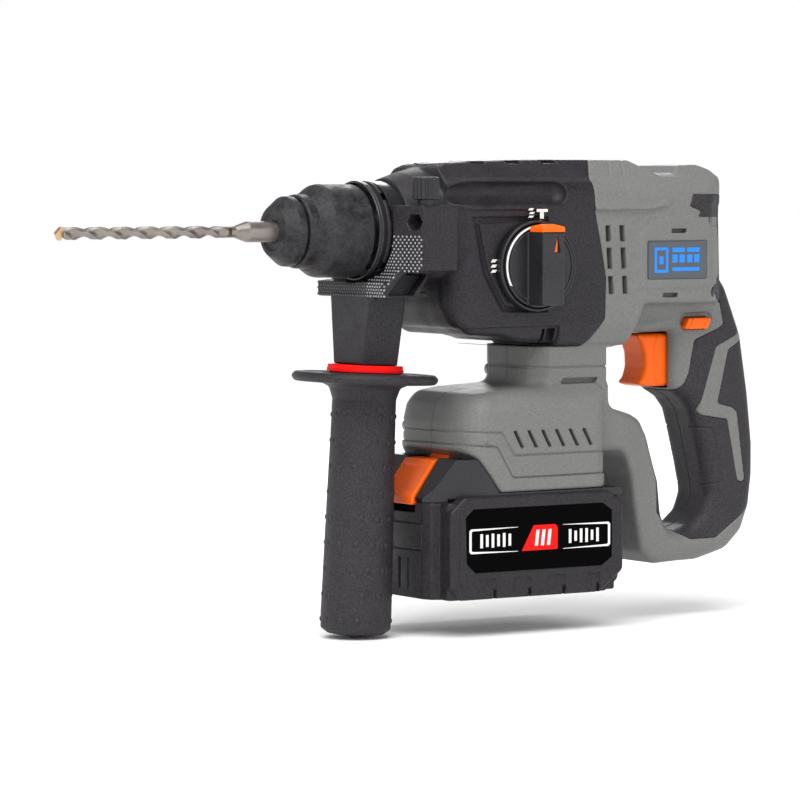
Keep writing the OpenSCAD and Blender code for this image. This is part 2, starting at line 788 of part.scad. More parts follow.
// Cross pin of the piston's fork, with a slot for the wobble arm's finger
module piston_pin() {
    color(steel) difference() {
        ycyl(pin_r, -10.2, 10.2, wobble_x, 0);
        for (x = [-0.9, 0.9])
            translate([wobble_x + x, 0, -10]) cylinder(r = finger_r + 0.2, h = 20, $fn = 64);
        block([wobble_x - 0.9, -finger_r - 0.2, -10], [wobble_x + 0.9, finger_r + 0.2, 10]);
    }
}

// Outer race of the wobble bearing, with the finger that drives the piston
module wobble_ring() {
    color(dark_steel) difference() {
        union() {
            xcyl(15.4, wobble_x - 4.5, wobble_x + 4.5, 0, lay_z);
            translate([wobble_x, 0, lay_z + 12]) cylinder(r = 4, h = 6, $fn = 64);
            translate([wobble_x, 0, lay_z + 12]) cylinder(r = finger_r, h = 21.5, $fn = 64);
        }
        translate([wobble_x, 0, lay_z]) sphere(r = wobble_ball_r + gap, $fn = 64);
    }
}

module wobble_hub() {
    color(steel) difference() {
        intersection() {
            translate([wobble_x, 0, lay_z]) sphere(r = wobble_ball_r, $fn = 64);
            xcyl(20, wobble_x - 7, wobble_x + 7, 0, lay_z);
        }
        xcyl(5, wobble_x - 12, wobble_x + 12, 0, lay_z);
    }
}

module layshaft() {
    color(steel) {
        xcyl(5, 99, bulkhead_x + bulkhead_w, 0, lay_z);
        xgear(lay_pinion_teeth, m_spindle, gear_x - 0.5, gear_x + gear_w + 0.5, lay_z, 15);
    }
}

module layshaft_gear() {
    color(dark_steel) difference() {
        xgear(lay_gear_teeth, m_motor, motor_gear_x, motor_gear_x + motor_gear_w, lay_z);
        xcyl(5, motor_gear_x - 1, motor_gear_x + motor_gear_w + 1, 0, lay_z);
        for (a = [30 : 60 : 330]) translate([0, 0, lay_z]) rotate([a, 0, 0])
            xcyl(2.6, motor_gear_x - 1, motor_gear_x + motor_gear_w + 1, 0, 11);
    }
}

// ---------- controls ----------

module dial_ring() {
    color(black_plastic) difference() {
        ycyl(dial_d / 2 + 2, -gear_half_w - 3.2, -gear_half_w + 1.4, dial_x, dial_z);
        ycyl(dial_d / 2 + gap + 0.1, -gear_half_w - 4, -gear_half_w + 2, dial_x, dial_z);
    }
}

// Disc with its finger bar, hub and eccentric pin
module mode_dial() {
    color(black_plastic) {
        ycyl(dial_d / 2, -gear_half_w - 4.4, -gear_half_w + 1.1, dial_x, dial_z);
        intersection() {
            block([dial_x - 7, -gear_half_w - 16.2, dial_z - 19],
                [dial_x + 7, -gear_half_w - 4.4, dial_z + 16.6]);
            ycyl(dial_d / 2 - 0.4, -gear_half_w - 20, -gear_half_w, dial_x, dial_z);
        }
        ycyl(8 - running, -gear_half_w + 1.1, -gear_half_w + 2.9, dial_x, dial_z);
        ycyl(1.5, -gear_half_w + 2.9, -gear_half_w + 5.8, dial_x + dial_pin, dial_z + dial_pin);
    }
}

module dial_cap() {
    color(orange_plastic)
        side_plate([[dial_x - 7.2, dial_z + 16.6], [dial_x + 7.2, dial_z + 16.6],
            [dial_x + 6.6, dial_z + 21],
                    [dial_x - 6.6, dial_z + 21]], -gear_half_w - 16.2, -gear_half_w - 4.8);
}

// Plate that the dial slides to change the mode, behind the gear housing's wall
module shift_plate() {
    color(steel) difference() {
        block([dial_x - 9, -gear_half_w + wall + 0.1, dial_z - 8],
            [dial_x + 12, -gear_half_w + wall + 2.5, dial_z + 12]);
        for (z = [dial_z + 2.6, dial_z + 4.2]) ycyl(1.9, -40, -20, dial_x + dial_pin, z);
        block([dial_x + dial_pin - 1.9, -40, dial_z + 2.6],
            [dial_x + dial_pin + 1.9, -20, dial_z + 4.2]);
        block([dial_x - 6, -40, dial_z - 5], [dial_x + 9, -20, dial_z - 2]);
    }
}

module trigger() {
    color(orange_plastic) {
        side_plate([[208.5, -53], [211.5, -57.5], [213.8, -63], [214, -70], [212.5, -75], [209, -78],
                    [214, -79.8], [231.5, -79.8], [231.5, -53]], -10, 10);
        xcyl(2.8, 231.5, 245, 0, -66);
    }
}

module trigger_spring() {
    color(steel) translate([231.8, 0, -66]) rotate([0, 90, 0]) coil(4.4, 0.4, 7.6, 2.5);
}

module switch_module() {
    color([0.16, 0.16, 0.17]) difference() {
        block([240, -10.5, -80], [262, 10.5, -53]);
        xcyl(3.2, 239, 256, 0, -66);
    }
}

module direction_selector() {
    color(orange_plastic)
        side_plate([[230.2, -50.9], [245, -50.9], [247.8, -45.1], [233, -45.1]], -20.4, 20.4);
}

module controller_board() {
    color(board_green) block([104, -27, -98], [160, 27, -96.4]);
    color(dark_steel) for (i = [0 : 5]) block([108 + i * 8, 6, -96.4], [113 + i * 8, 20, -92.5]);
    color([0.1, 0.1, 0.12]) for (y = [-20, -9]) translate([116, y, -96.4]) cylinder(r = 4, h = 9,
        $fn = 48);
    color(aluminium) block([124, -24, -96.4], [156, -4, -91]);
}

module terminal_block() {
    color(black_plastic) block([152, -22, -125], [165.6, 22, -107.1]);
    color(copper) for (y = [-16 : 8 : 16]) block([140, y - 0.5, -120], [152, y + 0.5, -114.5]);
}

// Three motor phase leads from the stator down to the controller
module motor_leads() {
    for (i = [0 : 2]) color([[0.75, 0.12, 0.1], [0.1, 0.3, 0.7], [0.85, 0.75, 0.1]][i]) {
        y = (i - 1) * 7;
        translate([173.2, y, -94.5]) cylinder(r = 1.3, h = 60.5, $fn = 24);
        translate([190, y, -34]) cylinder(r = 1.3, h = 3.4, $fn = 24);
        xcyl(1.3, 158, 173.2, y, -94.5);
        xcyl(1.3, 173.2, 190, y, -34);
        for (p = [[173.2, -94.5], [173.2, -34], [190, -34]])
            translate([p[0], y, p[1]]) sphere(r = 1.3, $fn = 24);
    }
}

// ---------- side handle ----------

module clamp_band() {
    color(steel) xring(neck_r + running + band_t, neck_r + running, saddle_x[0] - 0.1,
        saddle_x[1] + 0.1);
}

// Saddle under the neck, wing with the depth rod's hole, head and tapered post
module handle_bracket() {
    color(black_plastic) difference() {
        union() {
            front_plate([[wing_y, wing_top], [wing_y, -19], [-28, head_z], [28, head_z], [28, -25],
                [23, -8],
                         [0, -8], [-18, wing_top]], saddle_x[0], saddle_x[1]);
            difference() {
                block([59.2, wing_y, -19], [80, -20, wing_top]);
                xcyl(31.6, saddle_x[1], 81);
            }
            side_plate([[44.5, head_z], [44.5, -26.5], [53.2, -25], [53.7, -20], [61.3, -20],
                [62.5, head_z + 4],
                        [71, head_z + 2.6], [71, head_z]], -28, 28);
            // Slanted front face from the wing down to the head
            hull() {
                block([59.2, wing_y, -19], [61.3, wing_y + 2, -17]);
                block([44.5, -28, head_z], [61.3, -24, -26.5]);
                block([56, -30, -19], [61.3, -26, -8]);
            }
            raked() intersection() {
                side_plate([[-9.8, washer_h], [9.8, washer_h], [10.4, 38], [-10.4, 38]], -30, 30);
                front_plate([[-14.5, washer_h], [14.5, washer_h], [19, 38], [-19, 38]], -30, 30);
            }
        }
        xcyl(neck_r + 2 * running + band_t, 40, saddle_x[1] + 0.05);
        xcyl(31, saddle_x[1] + 0.05, 81);
        // Depth rod's hexagonal hole
        translate([50, hex_y, hex_z]) rotate([0, 90, 0]) cylinder(r = 4.2, h = 40, $fn = 6);
        // Bore of the depth lock's stem
        translate([lock_x, lock_y, hex_z]) cylinder(r = 4.1, h = 20, $fn = 64);
        raked() translate([0, 0, -1]) cylinder(r = grip_bolt_r + 0.1, h = 32, $fn = 64);
    }
}

module depth_lock_button() {
    color(black_plastic) {
        difference() {
            translate([lock_x, lock_y, 15.1]) cylinder(r = 6.5, h = 11, $fn = 96);
            for (a = [0 : 30 : 330]) translate([lock_x, lock_y, 0]) rotate([0, 0, a])
                translate([6.9, 0, 15]) cylinder(r = 1, h = 12, $fn = 24);
        }
        translate([lock_x, lock_y, 9.9]) cylinder(r = 4, h = 5.3, $fn = 64);
    }
}

module handle_washer() {
    color(red_plastic) raked() difference() {
        cylinder(r = 18.7, h = washer_h - 0.05, $fn = 96);
        translate([0, 0, -1]) cylinder(r = grip_bolt_r + 0.1, h = washer_h + 2, $fn = 64);
    }
}

// Grip with its guard flange, turned about its own axis
module handle_grip() {
    r = flange_d / 2;
    color(black_rubber) raked() rotate_extrude($fn = 96) polygon([
        [4, -0.3], [r - 2, -0.3], [r - 0.6, -0.9], [r, -2.4], [r - 0.4, -4], [r - 2, -flange_t],
            [21, -flange_t - 0.4],
        [17.4, -7.4], [15.7, -11.5], [16.4, -grip_length / 2], [17.3, -grip_length + 4],
            [17, -grip_length - 1],
        [14, -grip_length - 3.4], [6, -grip_length - 5], [0, -grip_length - 5], [0, -60], [4, -60]]);
}

module handle_bolt() {
    color(steel) raked() translate([0, 0, -59.9]) cylinder(r = grip_bolt_r, h = 88, $fn = 64);
}

// ---------- battery ----------

// Outline of the battery in X and Y
case_plan = [
    [battery_x, -20], [battery_x + 2, -25], [case_x0, -26.5], [case_x0, -case_half_w],
        [case_x1, -case_half_w],
    [case_x1, case_half_w], [case_x0, case_half_w], [case_x0, 26.5], [battery_x + 2, 25],
        [battery_x, 20]];
panel_side = [
    [78, -135.6], [86.5, -128.2], [171.9, -128.2], [180.8, -135], [180.8, -168], [167, battery_z],
    [84, battery_z], [78, -172]];
button_pocket = [[60, -136.6], [78.5, -136.6], [90, -120.8], [101.5, -120.8], [101.5, -100],
    [60, -100]];

module case_block(d, z0, z1) {
    translate([0, 0, z0]) linear_extrude(z1 - z0) polygon(shrunk(case_plan, d));
}

module battery_lower_case() {
    color(black_plastic) difference() {
        union() {
            difference() {
                case_block(0, battery_z, case_split_z);
                case_block(2, battery_z + 2, case_split_z + 1);
            }
            for (s = [-1, 1])
                side_plate(panel_side, min(s * case_half_w, s * battery_half_w), max(s * case_half_w,
                    s * battery_half_w));
        }
        // Label recesses, cuts between the base ribs and the button's pocket
        for (s = [-1, 1]) side_plate(label_side, s * battery_half_w - 0.4, s * battery_half_w + 0.4);
        for (s = [-1, 1]) for (x = [105, 125.2, 145.4, 166])
            block([x, s * battery_half_w - 0.8, battery_z - 1],
                [x + 1.2, s * battery_half_w + 0.8, -170]);
        side_plate(button_pocket, -13.6, 13.6);
        for (y = [-16 : 8 : 16]) block([battery_x - 1, y - 1, battery_z + 3],
            [battery_x + 0.9, y + 1, -158]);
    }
}

label_side = [
    [86.4, -138.2], [91, -134], [168, -134], [173.8, -138], [173.8, -161.5], [167.4, -165.6],
        [92.3, -165.6],
    [87, -160.9]];

module battery_upper_case() {
    color(black_plastic) difference() {
        union() {
            intersection() {
                side_plate([[battery_x, case_split_z], [battery_x, -129.3], [86, -110.8], [96, -110.8],
                            [107.8, case_top_z], [case_x1, case_top_z], [case_x1, case_split_z]],
                           -case_half_w, case_half_w);
                linear_extrude(big, center = true)
                    polygon([[battery_x, -20], [76.5, -26], [101, -case_half_w],
                        [case_x1, -case_half_w],
                             [case_x1, case_half_w], [101, case_half_w], [76.5, 26], [battery_x, 20]]);
            }
            block([95, -24, case_top_z - 2], [platform_x[1], 24, platform_z]);
            block([platform_x[0], -30.5, rail_z[1] + 0.4], [platform_x[1], 30.5, platform_z]);
            intersection() {
                block([90, -24, -130], [platform_x[0], 24, -110.8]);
                side_plate([[86, -130], [86, -110.8], [103.5, -110.8], [platform_x[0], platform_z],
                    [platform_x[0], -130]], -24, 24);
            }
        }
        // Inside, terminal slots and the button's pocket
        block([102.5, -21.5, -134], [137, 21.5, platform_z - 2]);
        block([82, -32, -132], [178.8, 32, case_top_z - 2]);
        for (y = [-16 : 8 : 16]) block([138, y - 1, -121.5],
            [platform_x[1] + 1, y + 1, platform_z + 1]);
        side_plate(button_pocket, -13.6, 13.6);
    }
}

module battery_labels() {
    color([0.02, 0.02, 0.02]) for (s = [-1, 1])
        side_plate(shrunk(label_side, 0.3), s * (battery_half_w - 0.2) - 0.2,
            s * (battery_half_w - 0.2) + 0.2);
}

// Ten round cells in two rows
module battery_cells() {
    color([0.25, 0.5, 0.35]) for (i = [0 : 4]) for (z = cell_rows)
        ycyl(cell_r, -cell_l / 2, cell_l / 2, cell_x0 + i * cell_pitch, z);
}

module cell_holder() {
    color([0.85, 0.85, 0.82]) for (s = [-1, 1])
        difference() {
            block([80.8, s * 24 - 2, -176.2], [178.6, s * 24 + 2, -137.4]);
            for (i = [0 : 4]) for (z = cell_rows) ycyl(cell_r, -40, 40, cell_x0 + i * cell_pitch, z);
        }
}

module battery_board() {
    color(board_green) block([90, -28, -135], [172, 28, -133.6]);
    color(copper) for (y = [-16 : 8 : 16]) for (s = [-1, 1])
        block([140, y + s * 0.8 - 0.15, -121.2], [149, y + s * 0.8 + 0.15, -114]);
}

// Latch button: a finger pad on the nose and a tongue that hooks in the foot
module battery_release_button() {
    color(orange_plastic) {
        side_plate([[70.9, -133], [74.4, -133], [77.5, -128], [88, -114.6], [94, -114.6], [94, -111.4],
                    [84, -111.4], [70.9, -128.8]], -13, 13);
        side_plate([[93, -117], [100.5, -117], [100.5, -107.8], [97.5, -107.8], [95, -111.4],
            [93, -111.4]], -8, 8);
    }
}

// ---------- assembly ----------

gear_housing();
housing_left();
housing_right();
grip_cover_left();
grip_cover_right();
name_plates();
dial_ring();
bearing_bulkhead();
spindle_support();
spindle_bearings();
spindle_oil_seal();
layshaft_bearings();
motor_stator();
motor_windings();
motor_bearings();
switch_module();
controller_board();
terminal_block();
motor_leads();
housing_screws();
gear_housing_screws();
spindle();
spindle_gear();
dust_cap();
locking_balls();
chuck_spring();
chuck_sleeve();
locking_ring();
drill_bit();
carbide_tip();
beat_piece();
striker();
piston();
piston_pin();
wobble_ring();
layshaft();
layshaft_gear();
wobble_hub();
rotor_shaft();
rotor_core();
cooling_fan();
mode_dial();
dial_cap();
shift_plate();
trigger();
trigger_spring();
direction_selector();
handle_bracket();
clamp_band();
handle_washer();
handle_grip();
handle_bolt();
depth_lock_button();
battery_lower_case();
battery_upper_case();
battery_labels();
battery_cells();
cell_holder();
battery_board();
battery_release_button();
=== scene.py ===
"""Cordless rotary hammer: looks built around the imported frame. Shapes are in millimetres until they become meshes."""

import math

import bpy
import numpy as np
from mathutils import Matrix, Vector


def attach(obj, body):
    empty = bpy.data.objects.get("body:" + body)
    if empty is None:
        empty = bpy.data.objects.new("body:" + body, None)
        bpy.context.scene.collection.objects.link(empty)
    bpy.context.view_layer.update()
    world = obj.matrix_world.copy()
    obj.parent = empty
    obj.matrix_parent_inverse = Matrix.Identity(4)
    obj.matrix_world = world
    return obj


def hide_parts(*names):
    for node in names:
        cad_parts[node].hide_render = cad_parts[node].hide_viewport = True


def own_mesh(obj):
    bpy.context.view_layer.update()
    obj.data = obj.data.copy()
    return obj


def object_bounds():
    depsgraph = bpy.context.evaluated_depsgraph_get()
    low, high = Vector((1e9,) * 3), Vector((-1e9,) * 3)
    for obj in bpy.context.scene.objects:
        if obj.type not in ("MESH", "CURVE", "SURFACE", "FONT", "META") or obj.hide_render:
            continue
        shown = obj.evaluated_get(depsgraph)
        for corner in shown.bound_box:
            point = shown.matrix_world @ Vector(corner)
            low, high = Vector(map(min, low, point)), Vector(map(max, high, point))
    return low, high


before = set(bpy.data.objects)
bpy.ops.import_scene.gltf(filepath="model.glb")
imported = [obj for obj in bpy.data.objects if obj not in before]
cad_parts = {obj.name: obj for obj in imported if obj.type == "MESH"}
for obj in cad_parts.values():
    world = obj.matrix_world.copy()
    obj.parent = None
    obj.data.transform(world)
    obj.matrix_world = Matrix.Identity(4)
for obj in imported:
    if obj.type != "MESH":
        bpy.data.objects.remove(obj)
cad_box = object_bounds()
STEP = 0.6


# ---------- fields: signed distances, negative inside ----------

def rmax(a, b, r):
    """Intersection whose edge has radius r."""
    return np.minimum(np.maximum(a, b), -r) + np.hypot(np.maximum(a + r, 0), np.maximum(b + r, 0))


def smin(a, b, k):
    """Union with a fillet of about k."""
    h = np.maximum(k - np.abs(a - b), 0) / k
    return np.minimum(a, b) - h * h * k * 0.25


def smax(a, b, k):
    return -smin(-a, -b, k)


def rounded(points, r, closed=True, seg=6):
    """The outline with an arc of radius r (one number, or one for each point) at its corners."""
    pts = np.array(points, float)
    n = len(pts)
    radii = r if isinstance(r, (list, tuple)) else [r] * n
    out = []
    for i in range(n):
        p = pts[i]
        if radii[i] <= 0 or (not closed and i in (0, n - 1)):
            out.append(p)
            continue
        a, b = pts[i - 1] - p, pts[(i + 1) % n] - p
        la, lb = np.linalg.norm(a), np.linalg.norm(b)
        a, b = a / la, b / lb
        half = math.acos(max(-0.9999, min(0.9999, a @ b))) / 2
        cut = min(radii[i] / math.tan(half), 0.48 * la, 0.48 * lb)
        mid = (a + b) / np.linalg.norm(a + b)
        centre = p + mid * cut / math.cos(half)
        s, e = p + a * cut - centre, p + b * cut - centre
        a0, a1 = math.atan2(s[1], s[0]), math.atan2(e[1], e[0])
        turn = (a1 - a0 + math.pi) % (2 * math.pi) - math.pi
        rad = np.linalg.norm(s)
        for k in range(seg + 1):
            t = a0 + turn * k / seg
            out.append(centre + rad * np.array([math.cos(t), math.sin(t)]))
    return np.array(out)


class Outline:
    """Distance to an outline in a plane, kept on a grid and read between its nodes."""

    def __init__(self, points, r=0, closed=True, pad=9):
        pts = rounded(points, r, closed)
        low, high = pts.min(0) - pad, pts.max(0) + pad
        self.step = max(0.25, min(0.8, (high - low).max() / 260))
        self.low = low
        self.n = np.ceil((high - low) / self.step).astype(int) + 1
        u, v = (low[i] + self.step * np.arange(self.n[i]) for i in (0, 1))
        u, v = np.meshgrid(u.astype(np.float32), v.astype(np.float32), indexing="ij")
        near = np.full(u.shape, 1e9, np.float32)
        inside = np.zeros(u.shape, bool)
        ends = np.roll(pts, -1, 0) if closed else pts[1:]
        for p, q in zip(pts, ends):
            e = q - p
            length = e @ e
            if length < 1e-9:
                continue
            t = np.clip(((u - p[0]) * e[0] + (v - p[1]) * e[1]) / length, 0, 1)
            near = np.minimum(near, (u - p[0] - t * e[0]) ** 2 + (v - p[1] - t * e[1]) ** 2)
            if closed and abs(e[1]) > 1e-9:
                inside ^= ((p[1] <= v) != (q[1] <= v)) & (u < e[0] * (v - p[1]) / e[1] + p[0])
        self.d = np.sqrt(near) * np.where(inside, -1, 1).astype(np.float32)

    def __call__(self, u, v):
        i = np.clip((u - self.low[0]) / self.step, 0, self.n[0] - 1.001)
        j = np.clip((v - self.low[1]) / self.step, 0, self.n[1] - 1.001)
        a, b = i.astype(np.int32), j.astype(np.int32)
        i, j = i - a, j - b
        k = a * self.n[1] + b
        d = self.d.ravel()
        near = d[k] * (1 - j) + d[k + 1] * j
        far = d[k + self.n[1]] * (1 - j) + d[k + self.n[1] + 1] * j
        return near * (1 - i) + far * i


def engrave(body, line, w, depth, k=0.35):
    """Cuts a groove, w wide, along the places where line is near 0."""
    return smax(body, smin(w / 2 - line, body + depth, k), k)


def emboss(body, area, height, k=0.35):
    """Raises the places where area is negative."""
    return smin(body, smax(area, body - height, k), k)


def ball(x, y, z, c, r):
    return np.sqrt((x - c[0]) ** 2 + (y - c[1]) ** 2 + (z - c[2]) ** 2) - r


def cuboid(x, y, z, low, high, r=0.5):
    c = [(a + b) / 2 for a, b in zip(low, high)]
    h = [(b - a) / 2 - r for a, b in zip(low, high)]
    q = [np.abs(p - m) - s for p, m, s in zip((x, y, z), c, h)]
    out = np.sqrt(sum(np.maximum(p, 0) ** 2 for p in q))
    return out + np.minimum(np.maximum(np.maximum(q[0], q[1]), q[2]), 0) - r


# ---------- meshes ----------

def surface(f, low, high, step=None):
    """Vertices and quads of the field's zero surface, by surface nets, evaluated only near the surface."""
    h = step or STEP
    c = 4
    low = np.array(low, float)
    n = np.ceil((np.array(high) - low) / h).astype(int)
    n = ((n + c - 1) // c) * c + 1
    ax = [(low[i] + h * np.arange(n[i])).astype(np.float32) for i in range(3)]
    g = np.meshgrid(*[a[::c] for a in ax], indexing="ij")
    coarse = f(*[a.ravel() for a in g]).reshape(g[0].shape)
    near = np.abs(coarse) < 1.25 * c * h
    cell = np.zeros([m - 1 for m in coarse.shape], bool)
    for i in (0, 1):
        for j in (0, 1):
            for k in (0, 1):
                cell |= near[i:i + cell.shape[0], j:j + cell.shape[1], k:k + cell.shape[2]]
    fine = cell.repeat(c, 0).repeat(c, 1).repeat(c, 2)
    mask = np.zeros(n, bool)
    for i in (0, 1):
        for j in (0, 1):
            for k in (0, 1):
                mask[i:i + n[0] - 1, j:j + n[1] - 1, k:k + n[2] - 1] |= fine
    near_i = [np.minimum((np.arange(m) + c // 2) // c, s - 1) for m, s in zip(n, coarse.shape)]
    field = np.where(coarse > 0, 9.0, -9.0).astype(np.float32)[np.ix_(*near_i)]
    idx = np.nonzero(mask)
    values = np.empty(len(idx[0]), np.float32)
    for s in range(0, len(values), 300000):
        part = [a[i[s:s + 300000]] for a, i in zip(ax, idx)]
        values[s:s + 300000] = f(*part)
    field[idx] = values
    inside = field < 0
    count = np.zeros([m - 1 for m in n], np.uint8)
    for i in (0, 1):
        for j in (0, 1):
            for k in (0, 1):
                count += inside[i:i + n[0] - 1, j:j + n[1] - 1, k:k + n[2] - 1]
    cells = np.nonzero((count > 0) & (count < 8))
    number = np.full(count.shape, -1, np.int32)
    number[cells] = np.arange(len(cells[0]))
    total = np.zeros((len(cells[0]), 3), np.float32)
    hits = np.zeros(len(cells[0]), np.float32)
    corner = {}
    for i in (0, 1):
        for j in (0, 1):
            for k in (0, 1):
                corner[i, j, k] = field[cells[0] + i, cells[1] + j, cells[2] + k]
    for axis in range(3):
        for p in (0, 1):
            for q in (0, 1):
                a = [p, q]
                a.insert(axis, 0)
                b = list(a)
                b[axis] = 1
                va, vb = corner[tuple(a)], corner[tuple(b)]
                cross = (va < 0) != (vb < 0)
                t = np.where(cross, va / np.where(cross, va - vb, 1), 0)
                for d in range(3):
                    total[:, d] += np.where(cross, a[d] + (t if d == axis else 0), 0)
                hits += cross
    verts = np.stack([low[d] + h * (cells[d] + total[:, d] / hits) for d in range(3)], 1).astype(np.float32)
    # One step towards the true surface
    e = 0.12 * h
    d0 = f(*verts.T)
    grad = np.stack([f(*(verts + e * np.eye(3, dtype=np.float32)[d]).T) - d0 for d in range(3)], 1) / e
    size = np.maximum((grad ** 2).sum(1), 0.25)
    verts -= np.clip(grad * (d0 / size)[:, None], -0.45 * h, 0.45 * h)
    quads = []
    for axis in range(3):
        u, v = (axis + 1) % 3, (axis + 2) % 3
        sl_a, sl_b = [slice(1, -1)] * 3, [slice(1, -1)] * 3
        sl_a[axis], sl_b[axis] = slice(0, n[axis] - 1), slice(1, n[axis])
        ia, ib = inside[tuple(sl_a)], inside[tuple(sl_b)]
        at = np.array(np.nonzero(ia != ib))
        flip = ia[tuple(at)]
        at[u] += 1
        at[v] += 1
        ring = []
        for du, dv in ((0, 0), (1, 0), (1, 1), (0, 1)):
            p = at.copy()
            p[u] -= du
            p[v] -= dv
            ring.append(number[tuple(p)])
        ring = np.stack(ring, 1)
        ring[~flip] = ring[~flip][:, ::-1]
        quads.append(ring)
    return verts, np.concatenate(quads)


def add_object(name, verts, faces, body, material, slot, replaced=(), smooth=True):
    """A mesh from arrays in millimetres, riding on a body."""
    mesh = bpy.data.meshes.new(name)
    if isinstance(faces, np.ndarray):
        mesh.vertices.add(len(verts))
        mesh.vertices.foreach_set("co", (np.asarray(verts, np.float32) / 1000).ravel())
        size = faces.shape[1]
        mesh.loops.add(faces.size)
        mesh.loops.foreach_set("vertex_index", faces.ravel().astype(np.int32))
        mesh.polygons.add(len(faces))
        mesh.polygons.foreach_set("loop_start", np.arange(0, faces.size, size, dtype=np.int32))
        mesh.update(calc_edges=True)
    else:
        mesh.from_pydata([tuple(c / 1000 for c in v) for v in verts], [], faces)
    mesh.polygons.foreach_set("use_smooth", [smooth] * len(mesh.polygons))
    mesh.materials.append(material)
    obj = bpy.data.objects.new(name, mesh)
    bpy.context.scene.collection.objects.link(obj)
    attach(obj, body)
    if replaced:
        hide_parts(*replaced)
    return obj


def add_field(name, f, low, high, body, material, slot, replaced=(), step=None):
    verts, quads = surface(f, low, high, step)
    return add_object(name, verts, quads, body, material, slot, replaced)


def lathe(profile, seg=192, wave=None):
    """Vertices and quads of a closed profile of (x, r), in millimetres, turned about X."""
    pts = np.array(profile, float)
    m = len(pts)
    t = np.linspace(0, 2 * np.pi, seg, endpoint=False)
    r = np.broadcast_to(pts[:, 1][:, None], (m, seg)).copy()
    if wave is not None:
        r += wave(pts[:, 0][:, None], r, t[None, :])
    verts = np.stack([np.broadcast_to(pts[:, 0][:, None], (m, seg)), r * np.cos(t), r * np.sin(t)], 2).reshape(-1, 3)
    i, j = np.meshgrid(np.arange(m), np.arange(seg), indexing="ij")
    i, j = i.ravel(), j.ravel()
    i2, j2 = (i + 1) % m, (j + 1) % seg
    faces = np.stack([i * seg + j, i * seg + j2, i2 * seg + j2, i2 * seg + j], 1)
    return verts, faces


def raised(name, shapes, y0, y1, body, material, slot, replaced=()):
    """Thin flat prints: outlines in X and Z between two heights along Y."""
    verts, faces = [], []
    for shape in shapes:
        n, m = len(verts), len(shape)
        verts += [(u, y, v) for y in (y0, y1) for u, v in shape]
        faces += [tuple(range(n, n + m)), tuple(range(n + 2 * m - 1, n + m - 1, -1))]
        faces += [(n + (i + 1) % m, n + i, n + m + i, n + m + (i + 1) % m) for i in range(m)]
    return add_object(name, verts, faces, body, material, slot, replaced, smooth=False)


# ---------- materials ----------

def finish(name, color, rough, metal=0.0, grain=0.015, size=0.6, mottle=0.04, coat=0.0, wear=0.0, speck=0.0,
           shine=0.28, cloudy=40):
    """A Principled material. grain is the height of a moulded texture in millimetres and size its width."""
    m = bpy.data.materials.new(name)
    m.use_nodes = True
    tree = m.node_tree
    b = tree.nodes["Principled BSDF"]
    b.inputs["Base Color"].default_value = (*color, 1)
    b.inputs["Metallic"].default_value = metal
    b.inputs["Roughness"].default_value = rough
    b.inputs["Coat Weight"].default_value = coat
    b.inputs["Coat Roughness"].default_value = 0.2
    b.inputs["Specular IOR Level"].default_value = 0.5 if metal else shine
    coord = tree.nodes.new("ShaderNodeTexCoord")
    if grain:
        noise = tree.nodes.new("ShaderNodeTexNoise")
        noise.inputs["Scale"].default_value = 1000 / size
        noise.inputs["Detail"].default_value = 3
        noise.inputs["Roughness"].default_value = 0.6
        bump = tree.nodes.new("ShaderNodeBump")
        bump.inputs["Strength"].default_value = 0.6
        bump.inputs["Distance"].default_value = grain / 1000
        tree.links.new(coord.outputs["Object"], noise.inputs["Vector"])
        tree.links.new(noise.outputs["Fac"], bump.inputs["Height"])
        tree.links.new(bump.outputs["Normal"], b.inputs["Normal"])
    if mottle or wear:
        cloud = tree.nodes.new("ShaderNodeTexNoise")
        cloud.inputs["Scale"].default_value = cloudy
        cloud.inputs["Detail"].default_value = 6
        tree.links.new(coord.outputs["Object"], cloud.inputs["Vector"])
    if mottle:
        span = tree.nodes.new("ShaderNodeMapRange")
        span.inputs["From Min"].default_value = 0.3
        span.inputs["From Max"].default_value = 0.7
        span.inputs["To Min"].default_value = max(rough - mottle, 0.05)
        span.inputs["To Max"].default_value = min(rough + mottle, 1)
        tree.links.new(cloud.outputs["Fac"], span.inputs["Value"])
        tree.links.new(span.outputs["Result"], b.inputs["Roughness"])
    if wear or speck:
        total = None
        for amount, wide, picture in ((wear, (0.35, 0.75), cloud if wear else None),
                                      (speck, (0.38, 0.62), noise if speck else None)):
            if not amount:
                continue
            stretch = tree.nodes.new("ShaderNodeMapRange")
            stretch.inputs["From Min"].default_value, stretch.inputs["From Max"].default_value = wide
            stretch.inputs["To Max"].default_value = amount / (wear + speck)
            tree.links.new(picture.outputs["Fac"], stretch.inputs["Value"])
            if total is None:
                total = stretch.outputs["Result"]
            else:
                add = tree.nodes.new("ShaderNodeMath")
                tree.links.new(total, add.inputs[0])
                tree.links.new(stretch.outputs["Result"], add.inputs[1])
                total = add.outputs["Value"]
        mix = tree.nodes.new("ShaderNodeMix")
        mix.data_type = "RGBA"
        mix.inputs["A"].default_value = (*[c * (1 - 0.5 * speck) for c in color], 1)
        mix.inputs["B"].default_value = (*[min(1, c * (1 + wear + 0.5 * speck)) for c in color], 1)
        tree.links.new(total, mix.inputs["Factor"])
        tree.links.new(mix.outputs["Result"], b.inputs["Base Color"])
    return m


